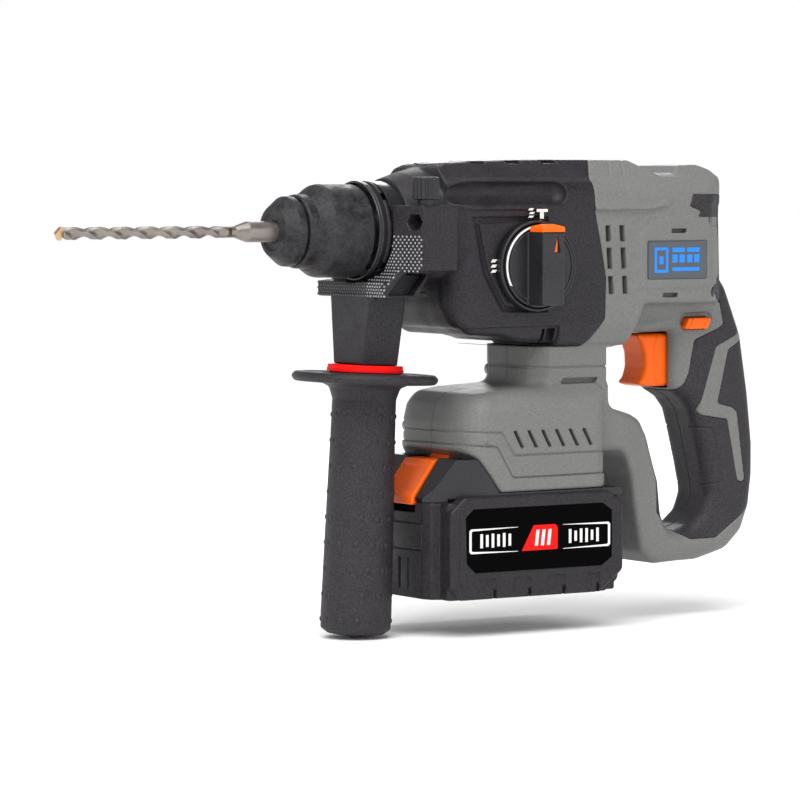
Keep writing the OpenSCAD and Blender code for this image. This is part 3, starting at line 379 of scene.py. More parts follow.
GREY = finish("moulded_grey", (0.150, 0.153, 0.148), 0.50, grain=0.12, size=1.1, mottle=0.06, wear=0.05, speck=0.2,
              cloudy=50)
BLACK = finish("moulded_black", (0.0150, 0.0132, 0.0160), 0.46, grain=0.22, size=1.2, mottle=0.10, wear=0.4, speck=0.9,
               cloudy=70)
SLEEK = finish("sleek_black", (0.0125, 0.0117, 0.0140), 0.30, grain=0.07, size=1.1, mottle=0.10, wear=0.3, speck=0.4, shine=0.45)
RUBBER = finish("soft_rubber", (0.0235, 0.0210, 0.0245), 0.58, grain=0.16, size=1.0, mottle=0.08, wear=0.3, speck=0.7,
                cloudy=60)
CHUCK = finish("chuck_rubber", (0.0145, 0.0140, 0.0155), 0.46, grain=0.14, size=1.6, mottle=0.16, wear=1.6, speck=0.8,
               shine=0.2, cloudy=160)
ORANGE = finish("orange_plastic", (0.98, 0.13, 0.0), 0.40, grain=0.02, size=0.8)
RED = finish("red_plastic", (0.90, 0.008, 0.006), 0.5, grain=0.02, mottle=0.05, shine=0.1)
WHITE = finish("white_paint", (0.78, 0.78, 0.76), 0.4)
BLUE = finish("blue_paint", (0.015, 0.22, 0.80), 0.4)
INK = finish("label_black", (0.0015, 0.0015, 0.0015), 0.7)
INK.node_tree.nodes["Principled BSDF"].inputs["Specular IOR Level"].default_value = 0.02
PLATE = finish("plate_grey", (0.075, 0.088, 0.100), 0.42, mottle=0.04)
STEEL = finish("steel", (0.50, 0.48, 0.46), 0.34, metal=1.0, grain=0.02, size=0.5, mottle=0.12)
FLUTE = finish("drill_steel", (0.24, 0.215, 0.20), 0.46, metal=1.0, grain=0.04, size=0.4, mottle=0.12, wear=0.5)
DARK = finish("dark_steel", (0.20, 0.20, 0.21), 0.4, metal=1.0, grain=0.03, size=0.6, mottle=0.1)
CAST = finish("cast_aluminium", (0.62, 0.63, 0.65), 0.46, metal=1.0, grain=0.05, size=0.7)
COPPER = finish("enamelled_copper", (0.72, 0.30, 0.12), 0.3, metal=1.0)
CARBIDE = finish("brazed_carbide", (0.62, 0.42, 0.27), 0.4, metal=1.0, grain=0.05, size=0.4)
BOARD = finish("board_green", (0.02, 0.16, 0.06), 0.35)
WRAP = finish("cell_wrap", (0.05, 0.26, 0.12), 0.3)
PALE = finish("pale_plastic", (0.70, 0.70, 0.66), 0.5)
# Lighter and darker copies of one colour for the bracket's raised points: painted highlight and painted shade
PIP_HIGHLIT = finish("pip_highlight_points", (0.30, 0.30, 0.31), 0.22)
PIP_SHADED = finish("pip_shade_points", (0.12, 0.115, 0.12), 0.28)
BAND = finish("blackened_band", (0.03, 0.028, 0.032), 0.25, metal=0.6, mottle=0.08)
DEEP = finish("deep_shade", (0.006, 0.006, 0.007), 0.7)
LEAD = finish("lead_sleeve", (0.45, 0.05, 0.04), 0.5, grain=0.02, size=0.4)


# ---------- grey housing ----------

seam = [(176, 36), (167, 24), (166, 10), (170, -8), (173, -24), (172.5, -44), (163.5, -55), (157, -60)]
behind_seam = Outline(seam + [(157, -100), (320, -100), (320, 60), (176, 60)], 1.5, pad=3)
core_side = Outline([(150, 27.8), (226, 27.8), (249, 27.5), (249.5, 22), (248.5, 5), (250, -14), (251.6, -37),
                     (197, -37), (189, -57.5), (150, -57.5)], [0, 3, 3, 3, 8, 8, 2, 2, 4, 0])
core_section = Outline([(-33, -46), (-27, -60), (27, -60), (33, -46), (33, 28.2), (-33, 28.2)], [4, 3, 3, 4, 17, 17])
core_plan = Outline([(140, -33), (236, -33), (252, -22), (252, 22), (236, 33), (140, 33)], [0, 8, 9, 9, 8, 0])
ridge_side = Outline([(140, 9.5), (140, 34.6), (198.5, 34.2), (211.5, 27), (214, 12), (198, 9.5)], [0, 0, 2, 2, 3, 2])
ridge_section = Outline([(-33.9, 0), (-33.9, 10.5), (-28, 22.4), (-14, 34.6), (14, 34.6), (28, 22.4), (33.9, 10.5),
                         (33.9, 0)], [0, 1.5, 2, 2, 2, 2, 1.5, 0])
cap_side = Outline([(219, 12), (221.5, 26.5), (227.5, 31.6), (240, 32.2), (247, 29.3), (249.8, 21), (249.3, 12)],
                   [0, 1.5, 2, 4, 4, 3, 0])
cap_section = Outline([(-33, 0), (-33, 12), (-28.5, 21.5), (-16, 32.4), (16, 32.4), (28.5, 21.5), (33, 12), (33, 0)],
                      [0, 3, 3, 4, 4, 3, 3, 0])
outer_loop = [(191, -30), (240, -10), (250, -14), (262, -30), (272, -54), (277, -84), (280, -110), (280, -126),
              (278, -142), (273, -155), (263, -164), (245, -168.5), (215, -169), (205, -162), (201, -145),
              (197, -124), (190, -110), (168, -110), (168, -88)]
inner_loop = [(197, -92.5), (204, -95.6), (209.5, -103.6), (218, -126.7), (220, -143.5), (224, -151),
              (231, -153), (239, -150.5), (247, -144), (250.5, -135), (247.5, -121), (243, -103), (240, -92.7),
              (235, -86.5), (226, -81), (226, -52), (200, -52), (189, -56), (179, -57), (179, -88)]
loop_out = Outline(outer_loop, [3, 5, 5, 20, 20, 20, 12, 12, 12, 12, 12, 14, 9, 9, 12, 12, 9, 2, 2])
loop_in = Outline(inner_loop, [6, 8, 12, 12, 9, 6, 6, 6, 7, 9, 12, 14, 8, 8, 4, 2, 2, 2, 3, 7])
foot_top = Outline([(88, -200), (88, -93), (93, -83.5), (100, -79.5), (112, -77.8), (142, -76.2), (175, -76),
                    (175, -200)], [0, 6, 6, 8, 8, 4, 3, 0])
foot_plan = Outline([(88, -35), (175, -35), (175, 35), (88, 35)], [16, 4, 4, 16])
foot_low = Outline([(60, -104), (88, -104), (97, -109.6), (109, -126.3), (174.5, -126), (190, -126), (190, -50),
                    (60, -50)], [0, 0, 1.5, 1.5, 0, 0, 0, 0])
neck_plan = Outline([(136, -17), (142.5, -27.5), (178, -27.5), (178, 27.5), (142.5, 27.5), (136, 17)],
                    [2, 1, 3, 3, 1, 2])
foot_line = Outline([(70, -97), (109, -98), (116.5, -109.4), (178, -109.1)], [0, 2, 2, 0], closed=False)
skirt_line = Outline([(70, -103), (106, -105.2), (115.2, -120.6), (178, -120.2)], [0, 2, 2, 0], closed=False)
skirt_zone = Outline([(70, -103), (106, -105.2), (115.2, -120.6), (178, -120.2), (178, -150), (70, -150)],
                     [0, 2, 2, 0, 0, 0])
panel_zone = Outline([(194, -2.2), (203, 3.6), (226, 6.4), (262, 7), (262, -28.4), (195, -29.6)], 1.5)
neck_slot = Outline([(151, -73), (172, -73), (170, -75.8), (147.5, -75.8)], 0.6)
window = Outline([(229.8, -51), (245.2, -51), (248.2, -44.8), (232.8, -44.8)], 1.4)
window_dish = Outline([(228.6, -49.4), (231.4, -42.8), (247.6, -42.6), (250.2, -46)], 2.4)
cover_zone = Outline([(221, -82), (231, -81), (235, -72.7), (238.5, -56.3), (253.3, -51), (257.2, -48.9),
                      (254.4, -37.5), (247, -14), (300, -14), (300, -128), (278, -141), (252.8, -157.4),
                      (237, -157.5), (223, -150), (215, -143), (215, -84)],
                     [4, 5, 8, 3, 3, 2, 4, 2, 0, 0, 2, 3, 4, 0, 0, 4])
stripe_zone = Outline([(290, -40.6), (265.5, -54.7), (252.9, -60.1), (242.1, -92.2), (244.8, -94.7),
                       (260.2, -97.1), (267, -129), (271.4, -129.2), (266.2, -93.8), (263.5, -91.5),
                       (253.6, -89), (260.5, -61.6), (266, -58.7), (290, -47)],
                      [0, 2, 3, 1.5, 1.5, 2, 2, 2, 2, 2, 1.5, 3, 2, 0])
patch_zone = Outline([(226.8, 17.4), (262, 17), (262, -13), (246.6, -10), (244.6, 1.2), (236.8, 1.5), (234.5, 4.6),
                      (228.7, 5), (231, 8.5), (224.2, 11.2)], [0.5, 0, 0, 1, 2, 0.6, 0.6, 0.6, 0.6, 0.6])
tab_zone = Outline([(243.5, -26.2), (262, -9), (262, -40), (246.3, -36), (244, -32.4), (239.8, -34.6), (238.4, -31.6)],
                   [0.6, 0, 0, 0.6, 0.6, 0.6, 0.6])
sunk_screws = [(182, 27.5, 17), (242, 24, 18), (254, -143, 12.5), (213, -158, 12.5), (140.5, -70, 20), (95.5, -97, 26)]


def handle_field(x, y, z):
    """The D-shaped handle: round-edged, with a thinner lower limb."""
    side = smax(loop_out(x, z), -loop_in(x, z), 1.0)
    half = 17.5 - 0.6 * np.clip((x - 240) / 30, -1, 1)
    t = np.clip((214 - x) / 34, 0, 1) * np.clip((-70 - z) / 8, 0, 1)
    half = half + 9.5 * t * t * (3 - 2 * t)
    return rmax(side, np.abs(y) - half, 9.0 - 4.5 * np.clip((232 - x) / 22, 0, 1))


def grey_field(x, y, z):
    ay = np.abs(y)
    core = rmax(rmax(core_side(x, z), core_section(y, z), 2.5), core_plan(x, y), 2)
    ridge = rmax(ridge_side(x, z), ridge_section(y, z), 0.8)
    cap = rmax(rmax(cap_side(x, z), cap_section(y, z), 1.2), core_plan(x, y), 1.5)
    body = smin(smin(core, ridge, 0.8), cap, 1.5)
    body = rmax(body, behind_seam(x, z), 0.5)
    handle = handle_field(x, y, z)
    neck = rmax(neck_plan(x, y), np.maximum(z + 57.3, -96 - z), 0.6)
    foot = rmax(foot_top(x, z), foot_plan(x, y), 11)
    foot = rmax(foot, foot_low(x, z), 0.7)
    base = smin(foot, neck, 5)
    body = smin(body, handle, 9)
    body = np.minimum(smin(body, base, 1.5), smin(base, handle, 3))
    # Lines and slots of the foot and neck
    low = foot + 1.5 < 3
    body = np.where(low, smax(body, smin(0.45 - foot_line(x, z), body + 0.7, 0.3), 0.3), body)
    body = np.where(low & (z < -90), emboss(body, skirt_zone(x, z), 0.7, 0.2), body)
    body = np.where(low & (z < -90), engrave(body, np.abs(skirt_zone(x, z) - 0.4), 0.7, 0.7, 0.2), body)
    body = engrave(body, np.maximum(np.abs(z + 67.6), np.maximum(134 - x, x - 180)), 0.9, 0.6)
    body = smax(body, -np.maximum(neck_slot(x, z), 25 - ay), 0.3)
    for i in range(6):
        mid = 119.1 + 8.2 * i - (z + 101.6) * 0.55
        slot = np.maximum(np.abs(x - mid) - 1.05, np.abs(z + 101.6) - 4.3)
        body = smax(body, -np.maximum(slot, 30 - ay), 0.3)
    for px, pz in ((100, -102), (121, -115), (146.5, -115)):
        body = smin(body, ball(x, ay, z, (px, 34.6, pz), 0.9), 0.4)
    # Motor vents with soft ribs between them
    lean = (z + 15) * 0.07
    for cx in (175.1, 183.6):
        dx = np.abs(x - cx + lean)
        for z0, z1 in ((-6, 2), (-19.5, -9), (-32, -23)):
            hole = np.maximum(dx - 1.5, np.maximum(z0 - z, z - z1))
            body = smax(body, -np.maximum(hole, 27 - ay), 0.35)
    # Panel round the name plate, its recess and the two small slots
    body = smin(body, np.maximum(panel_zone(x, z), np.maximum(body - 0.7, 26 - ay)), 1.2)
    plate = np.maximum(np.maximum(np.abs(x - 216.5) - 18.6, np.abs(z + 15.5) - 9.6), 32.0 - ay)
    body = smax(body, -plate, 0.2)
    for px, pz in ((217.5, -1), (212.5, -33)):
        body = smax(body, -np.maximum(np.maximum(np.abs(x - px) - 4.6, np.abs(z - pz) - 1.1), 29 - ay), 0.3)
    # Strips on the ridge
    for px in (178, 186):
        line = np.abs(x - px - (30 - ay) * 0.55)
        body = smax(body, smin(0.4 - line, np.minimum(body + 0.35, z - 27), 0.2), 0.2)
    # Window of the direction selector and the dish above it
    body = smax(body, -np.maximum(window_dish(x, z), 16.4 - ay), 0.8)
    body = smax(body, -np.maximum(window(x, z), 12 - ay), 0.4)
    # Mouth of the trigger
    body = smax(body, -cuboid(x, y, z, (190, -10.8, -80.6), (238, 10.8, -52.2), 0.8), 0.6)
    # Places of the soft covers
    cover = np.maximum(cover_zone(x, z), -stripe_zone(x, z))
    body = smax(body, smin(-cover - 0.1, body + 1.8, 0.2), 0.25)
    patch = np.minimum(np.minimum(patch_zone(x, z), tab_zone(x, z)), np.maximum(247.4 - x - 0.05 * (z + 13), np.abs(z + 12) - 20))
    return smax(body, smin(-patch, body + 0.6, 0.2), 0.2)


def cover_field(x, y, z):
    """Soft cover over one side and the rear of the handle."""
    body = handle_field(x, y, z)
    cover = smax(cover_zone(x, z), -stripe_zone(x, z), 0.4)
    skin = rmax(body, cover + 0.2, 0.6)
    line = np.abs(grip_panel(x, z))
    skin = smax(skin, smin(0.4 - line, np.minimum(skin + 0.5, np.abs(y) - 8), 0.25), 0.25)
    return np.maximum(skin, -body - 2.2)


grip_panel = Outline([(227.5, -100), (251.4, -101.6), (257.3, -129), (234, -134)], 2)


def patch_field(x, y, z):
    """Soft corner pieces at the rear of the motor housing."""
    core = rmax(rmax(core_side(x, z), core_section(y, z), 2.5), core_plan(x, y), 2)
    cap = rmax(rmax(cap_side(x, z), cap_section(y, z), 1.2), core_plan(x, y), 1.5)
    body = smin(core, cap, 1.5)
    area = np.minimum(np.minimum(patch_zone(x, z), tab_zone(x, z)), np.maximum(247.4 - x - 0.05 * (z + 13), np.abs(z + 12) - 20))
    return np.maximum(rmax(body - 0.15, area + 0.15, 0.4), -body - 2)


def add_grey():
    """Both housing shells, split by a fine seam at Y = 0, and the soft covers."""
    split = 0.03
    for side, word in ((-1, "left"), (1, "right")):
        def shell(x, y, z):
            body = rmax(grey_field(x, y, z), split - side * y, 0.22)
            if side > 0:
                for px, pz, seat in sunk_screws:
                    body = smax(body, -np.maximum(np.hypot(x - px, z - pz) - 3.5, seat - y), 0.3)
            return body

        def cover(x, y, z):
            body = rmax(cover_field(x, y, z), split - side * y, 0.22)
            if side > 0:
                px, pz, _ = sunk_screws[2]
                body = np.maximum(body, 3.5 - np.hypot(x - px, z - pz))
            return body

        y0, y1 = (-36, 1) if side < 0 else (-1, 36)
        add_field(f"housing_shell_{word}", shell, (86, y0, -171), (282, y1, 37), "tool_body", GREY, "grey_plastic",
                  [f"housing_{word}"])
        add_field(f"grip_cover_{word}_skin", cover, (212, y0 / 1.9, -161), (282, y1 / 1.9, -10), "tool_body", RUBBER,
                  "black_rubber", [f"grip_cover_{word}"])
    add_field("rear_corner_pads", patch_field, (223, -35, -41), (253, 35, 19), "tool_body", RUBBER, "black_rubber")


# ---------- gear housing ----------

gear_side = Outline([(150, -58.5), (122, -57.2), (112, -54), (94, -51.8), (86, -46), (81.6, -36), (81.2, 0),
                     (81.2, 27.8), (190, 27.8), (190, -60), (176, -60)], [0, 6, 8, 9, 9, 12, 4, 2, 0, 0, 0])
gear_section = Outline([(-34, -46.5), (-27, -62), (27, -62), (34, -46.5), (34, 28.2), (-34, 28.2)],
                       [9, 3, 3, 9, 17, 17])
gear_plan = Outline([(68, -22), (81.4, -26.5), (91, -34), (190, -34), (190, 34), (91, 34), (81.4, 26.5), (68, 22)],
                    [0, 4, 9, 0, 0, 9, 4, 0])
nose = Outline([(50.6, -6), (50.6, 23.5), (51.1, 24), (52.6, 24), (53.3, 22.8), (61.6, 22.8), (62.3, 25.1), (72, 28.2),
                (81, 30.4), (96, 31), (96, -6)], [0, 0.4, 0.4, 0.3, 0.3, 0.3, 0.8, 6, 3, 0, 0])
top_side = Outline([(81.2, 9.5), (81.2, 29.8), (86, 32.4), (104, 33.6), (150, 34.6), (190, 34.6), (190, 9.5)],
                   [0, 2, 3, 6, 0, 0, 0])
top_section = Outline([(-34, 0), (-34, 10.5), (-28.2, 22.4), (-14, 34.6), (14, 34.6), (28.2, 22.4), (34, 10.5),
                       (34, 0)], [0, 1.5, 2, 1.6, 1.6, 2, 1.5, 0])
dial_panel = Outline([(93, 7), (150, 7), (152.5, -17), (146, -40.4), (110.6, -39.6), (99.6, -21)],
                     [1, 1, 10, 2, 1, 1.5])
low_pocket = Outline([(77, -47.2), (145.4, -46.8), (145.4, -58), (118, -56.4), (97, -52)], [1, 1, 1, 8, 9])
deep_pocket = Outline([(136.5, -48.2), (144.2, -48), (144.2, -56.8), (136.5, -56.2)], 0.8)


def gear_field(x, y, z):
    ay = np.abs(y)
    body = rmax(rmax(gear_side(x, z), gear_section(y, z), 6), gear_plan(x, y), 6)
    ring = nose(x, np.hypot(y, z))
    top = rmax(rmax(top_side(x, z), top_section(y, z), 0.9), gear_plan(x, y), 3)
    body = smin(smin(body, ring, 3.5), top, 1.0)
    # Long channel beside the ridge, round at its rear end
    t = np.clip((x - 70) / 26, 0, 1)
    along = np.maximum(x - 143.5, 0)
    tall = 4.4 + 2.0 * t
    reach = np.sqrt(along ** 2 + (z - 16.9 - 1.9 * t) ** 2 + ((ay - 31.5) * 0.95) ** 2)
    body = smax(body, tall - reach, 0.7)
    # Sunk panel round the dial, with sloped walls
    panel = dial_panel(x, z)
    body = smax(body, -np.maximum(panel, 33.1 - ay), 0.3)
    border = np.maximum(np.abs(panel + 1.9) - 1.5, x - 138)
    body = smax(body, -np.maximum(border, 31.1 + 0.3 * (panel + 1.9) - ay), 0.4)
    # Low pockets
    body = smax(body, smin(-low_pocket(x, z), body + 0.4 + 2.2 * np.clip((x - 84) / 34, 0, 1), 1.0), 0.7)
    hole = np.maximum(deep_pocket(x, z), 24 - ay)
    hole = np.maximum(hole, 0.6 - np.abs(x - 138.6))
    body = smax(body, -hole, 0.4)
    # Notches of the ridge
    for nx in (81.5, 102.5, 124, 145.5):
        u = x - nx - (33.4 - z) * 0.6
        cut = np.maximum(np.maximum(-u, u - 9 + 0.5 * (16 - ay)), np.maximum(31.7 + 0.012 * (x - 81) - z, ay - 16.5))
        body = smax(body, -cut, 0.3)
    # Facets where the ridge runs into the side behind the channel
    facet = (ay - 34.6) * 0.93 + (z - 9.5) * 0.24 + (x - 150) * 0.03
    body = np.where((x > 148) & (z < 10) & (z > -14), smax(body, facet, 0.6), body)
    body = smax(body, -cuboid(x, y, z, (40, -18, -18), (56, 18, 18), 1), 0.3)
    return rmax(body, 0.12 - behind_seam(x, z), 0.4)


def add_gear_housing():
    lip = rounded([(45.8, 23.0), (45.8, 23.7), (46.3, 24.1), (46.9, 24.1), (47.25, 23.75), (47.6, 24.1), (48.4, 24.1),
                   (48.7, 23.7), (48.7, 23.0)], 0.2, seg=4)
    add_object("neck_lip", *lathe(lip, 256), "tool_body", SLEEK, "black_plastic")
    # A thin near-black tube across the gap between the lip and the nose: painted shade in that gap
    tube = rounded([(48.6, 23.0), (48.6, 23.4), (51.4, 23.4), (51.4, 23.0)], 0.1)
    add_object("neck_gap_shade_tube", *lathe(tube, 192), "tool_body", DEEP, "black_plastic")
    add_field("gear_case_shell", gear_field, (49, -36, -61), (178, 36, 37), "tool_body", BLACK, "black_plastic",
              ["gear_housing"])
    # Mode marks: slanted strokes for drilling and a hammer
    def strokes(boxes):
        return [[(cx + u * w / 2 + v * lean, cz + v * h / 2) for u, v in ((-1, -1), (1, -1), (1, 1), (-1, 1))]
                for cx, cz, w, h, lean in boxes]
    raised("mode_mark_drill", strokes([(105.4, -19.6 + 2.5 * i, 2.6, 1.4, 0.6) for i in range(3)]), -33.3, -33.0,
           "tool_body", WHITE, "white_plastic")
    raised("mode_mark_hammer", strokes([(126.6 + 0.5 * (i % 2), 6.6 + 1.8 * i, 2.4, 1.0, 0.4) for i in range(3)]
                                       + [(133.2, 9.6, 6.4, 1.4, 0), (133.0, 7.2, 2.2, 3.2, 0)]), -34.1, -33.8,
           "tool_body", WHITE, "white_plastic")


# ---------- chuck and bit ----------

def add_chuck():
    rng = np.random.default_rng(7)
    waves = [(rng.uniform(0.05, 0.35), int(rng.integers(1, 6)), rng.uniform(0, 6.28)) for _ in range(14)]

    def uneven(size):
        def wave(x, r, t):
            total = sum(np.sin(k * x + n * t + p) for k, n, p in waves)
            return size * total / 4 * np.clip((r - 9) / 3, 0, 1)
        return wave

    cap = rounded([(0.9, 5.3), (0.9, 8.6), (0.15, 9.6), (0.0, 12.0), (5.7, 16.3), (6.3, 16.7), (9.6, 16.9), (10.5, 16.2),
                   (10.5, 9), (2.3, 9), (2.3, 5.3)], [0.2, 0.3, 0.5, 1.4, 1.0, 0.5, 0.4, 0.3, 0, 0, 0], seg=5)
    add_object("dust_cap_soft", *lathe(cap, wave=uneven(0.05)), "spindle_body", CHUCK, "black_rubber", ["dust_cap"])
    sleeve = rounded([(11.4, 12.8), (11.4, 17.0), (12.4, 17.6), (16.6, 17.9), (18.2, 18.6), (23.2, 22.1), (25.6, 22.5),
                      (30, 22.45), (40, 22.5), (43.8, 22.5), (45.2, 21.2), (45.2, 19), (18.4, 19), (18.4, 12.8)],
                     [0, 0.6, 0.6, 1.5, 1.5, 2.0, 1.5, 3, 3, 1.0, 0.6, 0, 0, 0], seg=5)
    dense = []
    for a, b in zip(sleeve, np.roll(sleeve, -1, 0)):
        steps = max(1, int(np.linalg.norm(b - a) / 0.8))
        dense += [a + (b - a) * k / steps for k in range(steps)]
    add_object("chuck_sleeve_soft", *lathe(dense, 256, uneven(0.10)), "sleeve_body", CHUCK, "black_rubber",
               ["chuck_sleeve"])


def add_bit():
    x0, x1, lead, r = -113.0, -26.0, 26.7, 3.0
    n, m = 520, 72
    xs = np.linspace(x0, x1, n)
    t = np.linspace(0, 2 * np.pi, m, endpoint=False)
    u = (t % np.pi) / np.pi
    land = np.where(u < 0.30, 1.0, 1.0 - 0.50 * np.sin(np.pi * np.clip((u - 0.30) / 0.70, 0, 1)) ** 0.75)
    land = np.where((u > 0.07) & (u < 0.30), land * 0.965, land)
    run = np.clip((x1 - xs) / 7, 0, 1)[:, None]
    rad = r * (0.90 * (1 - run) + land[None, :] * run)
    turn = t[None, :] + 2 * np.pi * (xs[:, None] - x0) / lead
    flutes = np.stack([np.broadcast_to(xs[:, None], rad.shape), rad * np.cos(turn), rad * np.sin(turn)], 2)
    shank = rounded([(-26, 2.7), (-21, 2.75), (-19.4, 3.3), (-14.4, 4.9), (-13.2, 5), (42, 5), (43, 4)],
                    [0.1, 0.5, 0.8, 0.8, 0.5, 0.3, 0.2])
    ring = np.stack([np.broadcast_to(shank[:, 0][:, None], (len(shank), m)),
                     shank[:, 1][:, None] * np.cos(t + 2 * np.pi * (x1 - x0) / lead),
                     shank[:, 1][:, None] * np.sin(t + 2 * np.pi * (x1 - x0) / lead)], 2)
    # Closed grooves of the shank behind the dust cap aren't seen, so they stay in the CAD model
    rows = np.concatenate([flutes, ring])
    verts = rows.reshape(-1, 3)
    i, j = np.meshgrid(np.arange(len(rows) - 1), np.arange(m), indexing="ij")
    i, j = i.ravel(), j.ravel()
    j2 = (j + 1) % m
    quads = np.stack([i * m + j, i * m + j2, (i + 1) * m + j2, (i + 1) * m + j], 1)
    last = len(rows) - 1
    caps = []
    for k in range(1, m // 2):
        caps.append((k, k - 1 if k > 1 else 0, (m - k + 1) % m, m - k))
        caps.append((last * m + k, last * m + m - k, last * m + (m - k + 1) % m, last * m + k - 1))
    caps = [c for c in caps if len(set(c)) == 4]
    add_object("fluted_bit", verts, np.concatenate([quads, np.array(caps)]), "bit_body", FLUTE, "steel", ["drill_bit"])


# ---------- mode dial ----------

def about_dial(verts):
    """Turns a lathe about X into one about the dial's axis; the lathe's X becomes the distance out of the wall."""
    v = np.asarray(verts)
    return np.stack([129 + v[:, 2], -v[:, 0], -17.3 + v[:, 1]], 1)


def add_dial():
    ring = rounded([(32.6, 20.5), (36.4, 20.5), (37.2, 21.0), (37.2, 21.9), (36.4, 22.2), (32.6, 22.2)],
                   [0, 0.3, 0.3, 0.4, 0.5, 0])
    verts, faces = lathe(ring, 256)
    add_object("dial_bezel", about_dial(verts), faces, "tool_body", SLEEK, "black_plastic", ["dial_ring"])
    line = rounded([(36.8, 20.0), (38.5, 19.85), (38.9, 19.3), (38.6, 19.0), (36.8, 19.0)], 0.2)
    verts, faces = lathe(line, 256)
    verts = about_dial(verts)
    # The white line is kept only on the left and upper part of the ring and left out where the ring lies in shade, so
    # the black bezel shows there as painted shade
    faces = faces[(verts[faces][:, :, 0].max(1) < 133) & (verts[faces][:, :, 2].min(1) > -27)]
    add_object("dial_white_line", verts, faces, "dial_body", WHITE, "white_plastic")

    def knob(x, y, z):
        rho = np.hypot(x - 129, z + 17.3)
        out = -y
        disc = rmax(rho - 20.2, np.abs(out - 35.6) - 2.7, 0.6)
        disc = smax(disc, smin(0.5 - np.abs(rho - 18.3), -(37.7 - out), 0.2), 0.2)
        hub = np.maximum(rho - 7.9, np.abs(out - 33) - 1.9)
        taper = 0.045 * (out - 38)
        bar = rmax(np.maximum(np.abs(x - 129) - 6.9 + taper, np.maximum(-36.4 - z, z + 0.7)), out - 50.0, 1.0)
        bar = rmax(bar, rho - 19.7, 0.6)
        bar = np.maximum(bar, 37 - out)
        body = smin(np.minimum(disc, hub), bar, 0.8)
        tri = np.maximum(np.abs(x - 131.3) - 1.9 * (1 - (z + 10.6) / 8.2), np.maximum(-10.6 - z, z + 2.2))
        return smax(body, -np.maximum(tri, 49.2 - out), 0.2)
    add_field("dial_knob", knob, (107, -51.5, -39), (151, -31, 5), "dial_body", SLEEK, "black_plastic", ["mode_dial"],
              step=0.35)

    def cap(x, y, z):
        out = -y
        peak = 3.2 - 0.2 * np.abs(x - 129)
        body = rmax(np.maximum(np.abs(x - 129) - 6.7, -0.7 - z), z - peak, 0.9)
        body = rmax(body, np.maximum(38.9 - out, out - 50.2), 0.6)
        return body
    add_field("dial_pointer_cap", cap, (120, -51.5, -2), (138, -37, 6), "dial_body", ORANGE, "orange_plastic",
              ["dial_cap"], step=0.35)
    add_object("dial_arrow", [(129.6, -49.35, -10.4), (131.4, -49.35, -10.4), (131.4, -49.35, -3.4)], [(0, 1, 2)],
               "dial_body", ORANGE, "orange_plastic", smooth=False)
    add_object("dial_arrow_shade", [(131.4, -49.3, -10.5), (133.1, -49.3, -10.5), (131.4, -49.3, -2.6)], [(0, 1, 2)],
               "dial_body", DEEP, "black_plastic", smooth=False)


# ---------- side handle ----------

RAKE = math.radians(2.6)
saddle_front = Outline([(-41, 12.5), (-41, -19), (-30, -19.5), (-27, -32), (31.4, -32), (31.4, -25), (23, -8), (0, -8), (-18, 12.5)],
                       [1.2, 1.2, 1, 1, 1.5, 3, 2, 0, 1])
head_side = Outline([(44.6, -32), (44.6, -24.6), (53.2, -23.6), (53.8, -20), (61.2, -20), (62.5, -28), (70.9, -29.4),
                     (70.9, -32)], [0.9, 1.2, 1, 1, 1, 1.5, 1, 0.8])
block_side = Outline([(57.5, -14), (75, -14), (63.8, -31.9), (44.7, -31.9), (44.7, -27.5)], [1, 2, 1, 0.8, 1.5])
pocket_hole = Outline([(55.8, -20.2), (69.3, -20.2), (61.4, -30.6), (46.4, -30.6)], 0.6)


def leaning(x, z):
    """Place across and along the side handle's leaning axis."""
    dx, dz = x - 52.6, z + 68.4
    return dx * math.cos(RAKE) - dz * math.sin(RAKE), dx * math.sin(RAKE) + dz * math.cos(RAKE)


def add_pips():
    """Rows of small raised points over the front of the bracket."""
    xs = np.arange(43.5, 62.2, 0.12)
    spots = [(y + 1.1 * (row % 2), z) for row, z in enumerate(np.arange(-31.0, -2.0, 1.5))
             for y in np.arange(-40.0, 30.5, 2.2)]
    ys, zs = (np.array(c)[:, None] for c in zip(*spots))
    field = bracket_field(xs[None, :], ys + 0 * xs[None, :], zs + 0 * xs[None, :])
    hit = field < 0.02
    first = hit.argmax(1)
    ring = 7
    verts, faces = [], []
    for k, (y, z) in enumerate(spots):
        x = xs[first[k]]
        if not hit[k].any() or x > 61 or math.hypot(y, z) < 25.4:
            continue
        place = np.array([x, y, z])
        g = np.array([float(bracket_field(*[np.array([c + e * 0.05]) for c, e in zip(place, d)])[0]) for d in np.eye(3)])
        g = g - float(bracket_field(*[np.array([c]) for c in place])[0])
        if np.linalg.norm(g) < 0.03:
            continue
        g = g / np.linalg.norm(g)
        if g[0] > -0.5:
            continue
        u = np.cross(g, (0, 0, 1.0))
        u = u / np.linalg.norm(u)
        v = np.cross(g, u)
        n = len(verts)
        for r, h in ((0.66, -0.1), (0.45, 0.25)):
            verts += [tuple(place + g * h + r * (math.cos(t) * u + math.sin(t) * v))
                      for t in np.linspace(0, 2 * math.pi, ring, endpoint=False)]
        verts.append(tuple(place + g * 0.4))
        faces += [(n + i, n + (i + 1) % ring, n + ring + (i + 1) % ring, n + ring + i) for i in range(ring)]
        faces += [(n + ring + i, n + ring + (i + 1) % ring, n + 2 * ring) for i in range(ring)]
        faces.append(tuple(range(n + ring - 1, n - 1, -1)))
    pips = add_object("bracket_pips", verts, faces, "handle_body", PIP_HIGHLIT, "black_plastic").data
    pips.materials.append(PIP_SHADED)
    # The points on the head get the darker copy, painted shade; the others keep the lighter copy, a painted highlight
    for side in pips.polygons:
        side.material_index = int(side.center.x < 0.0475 and side.center.y > -0.014)


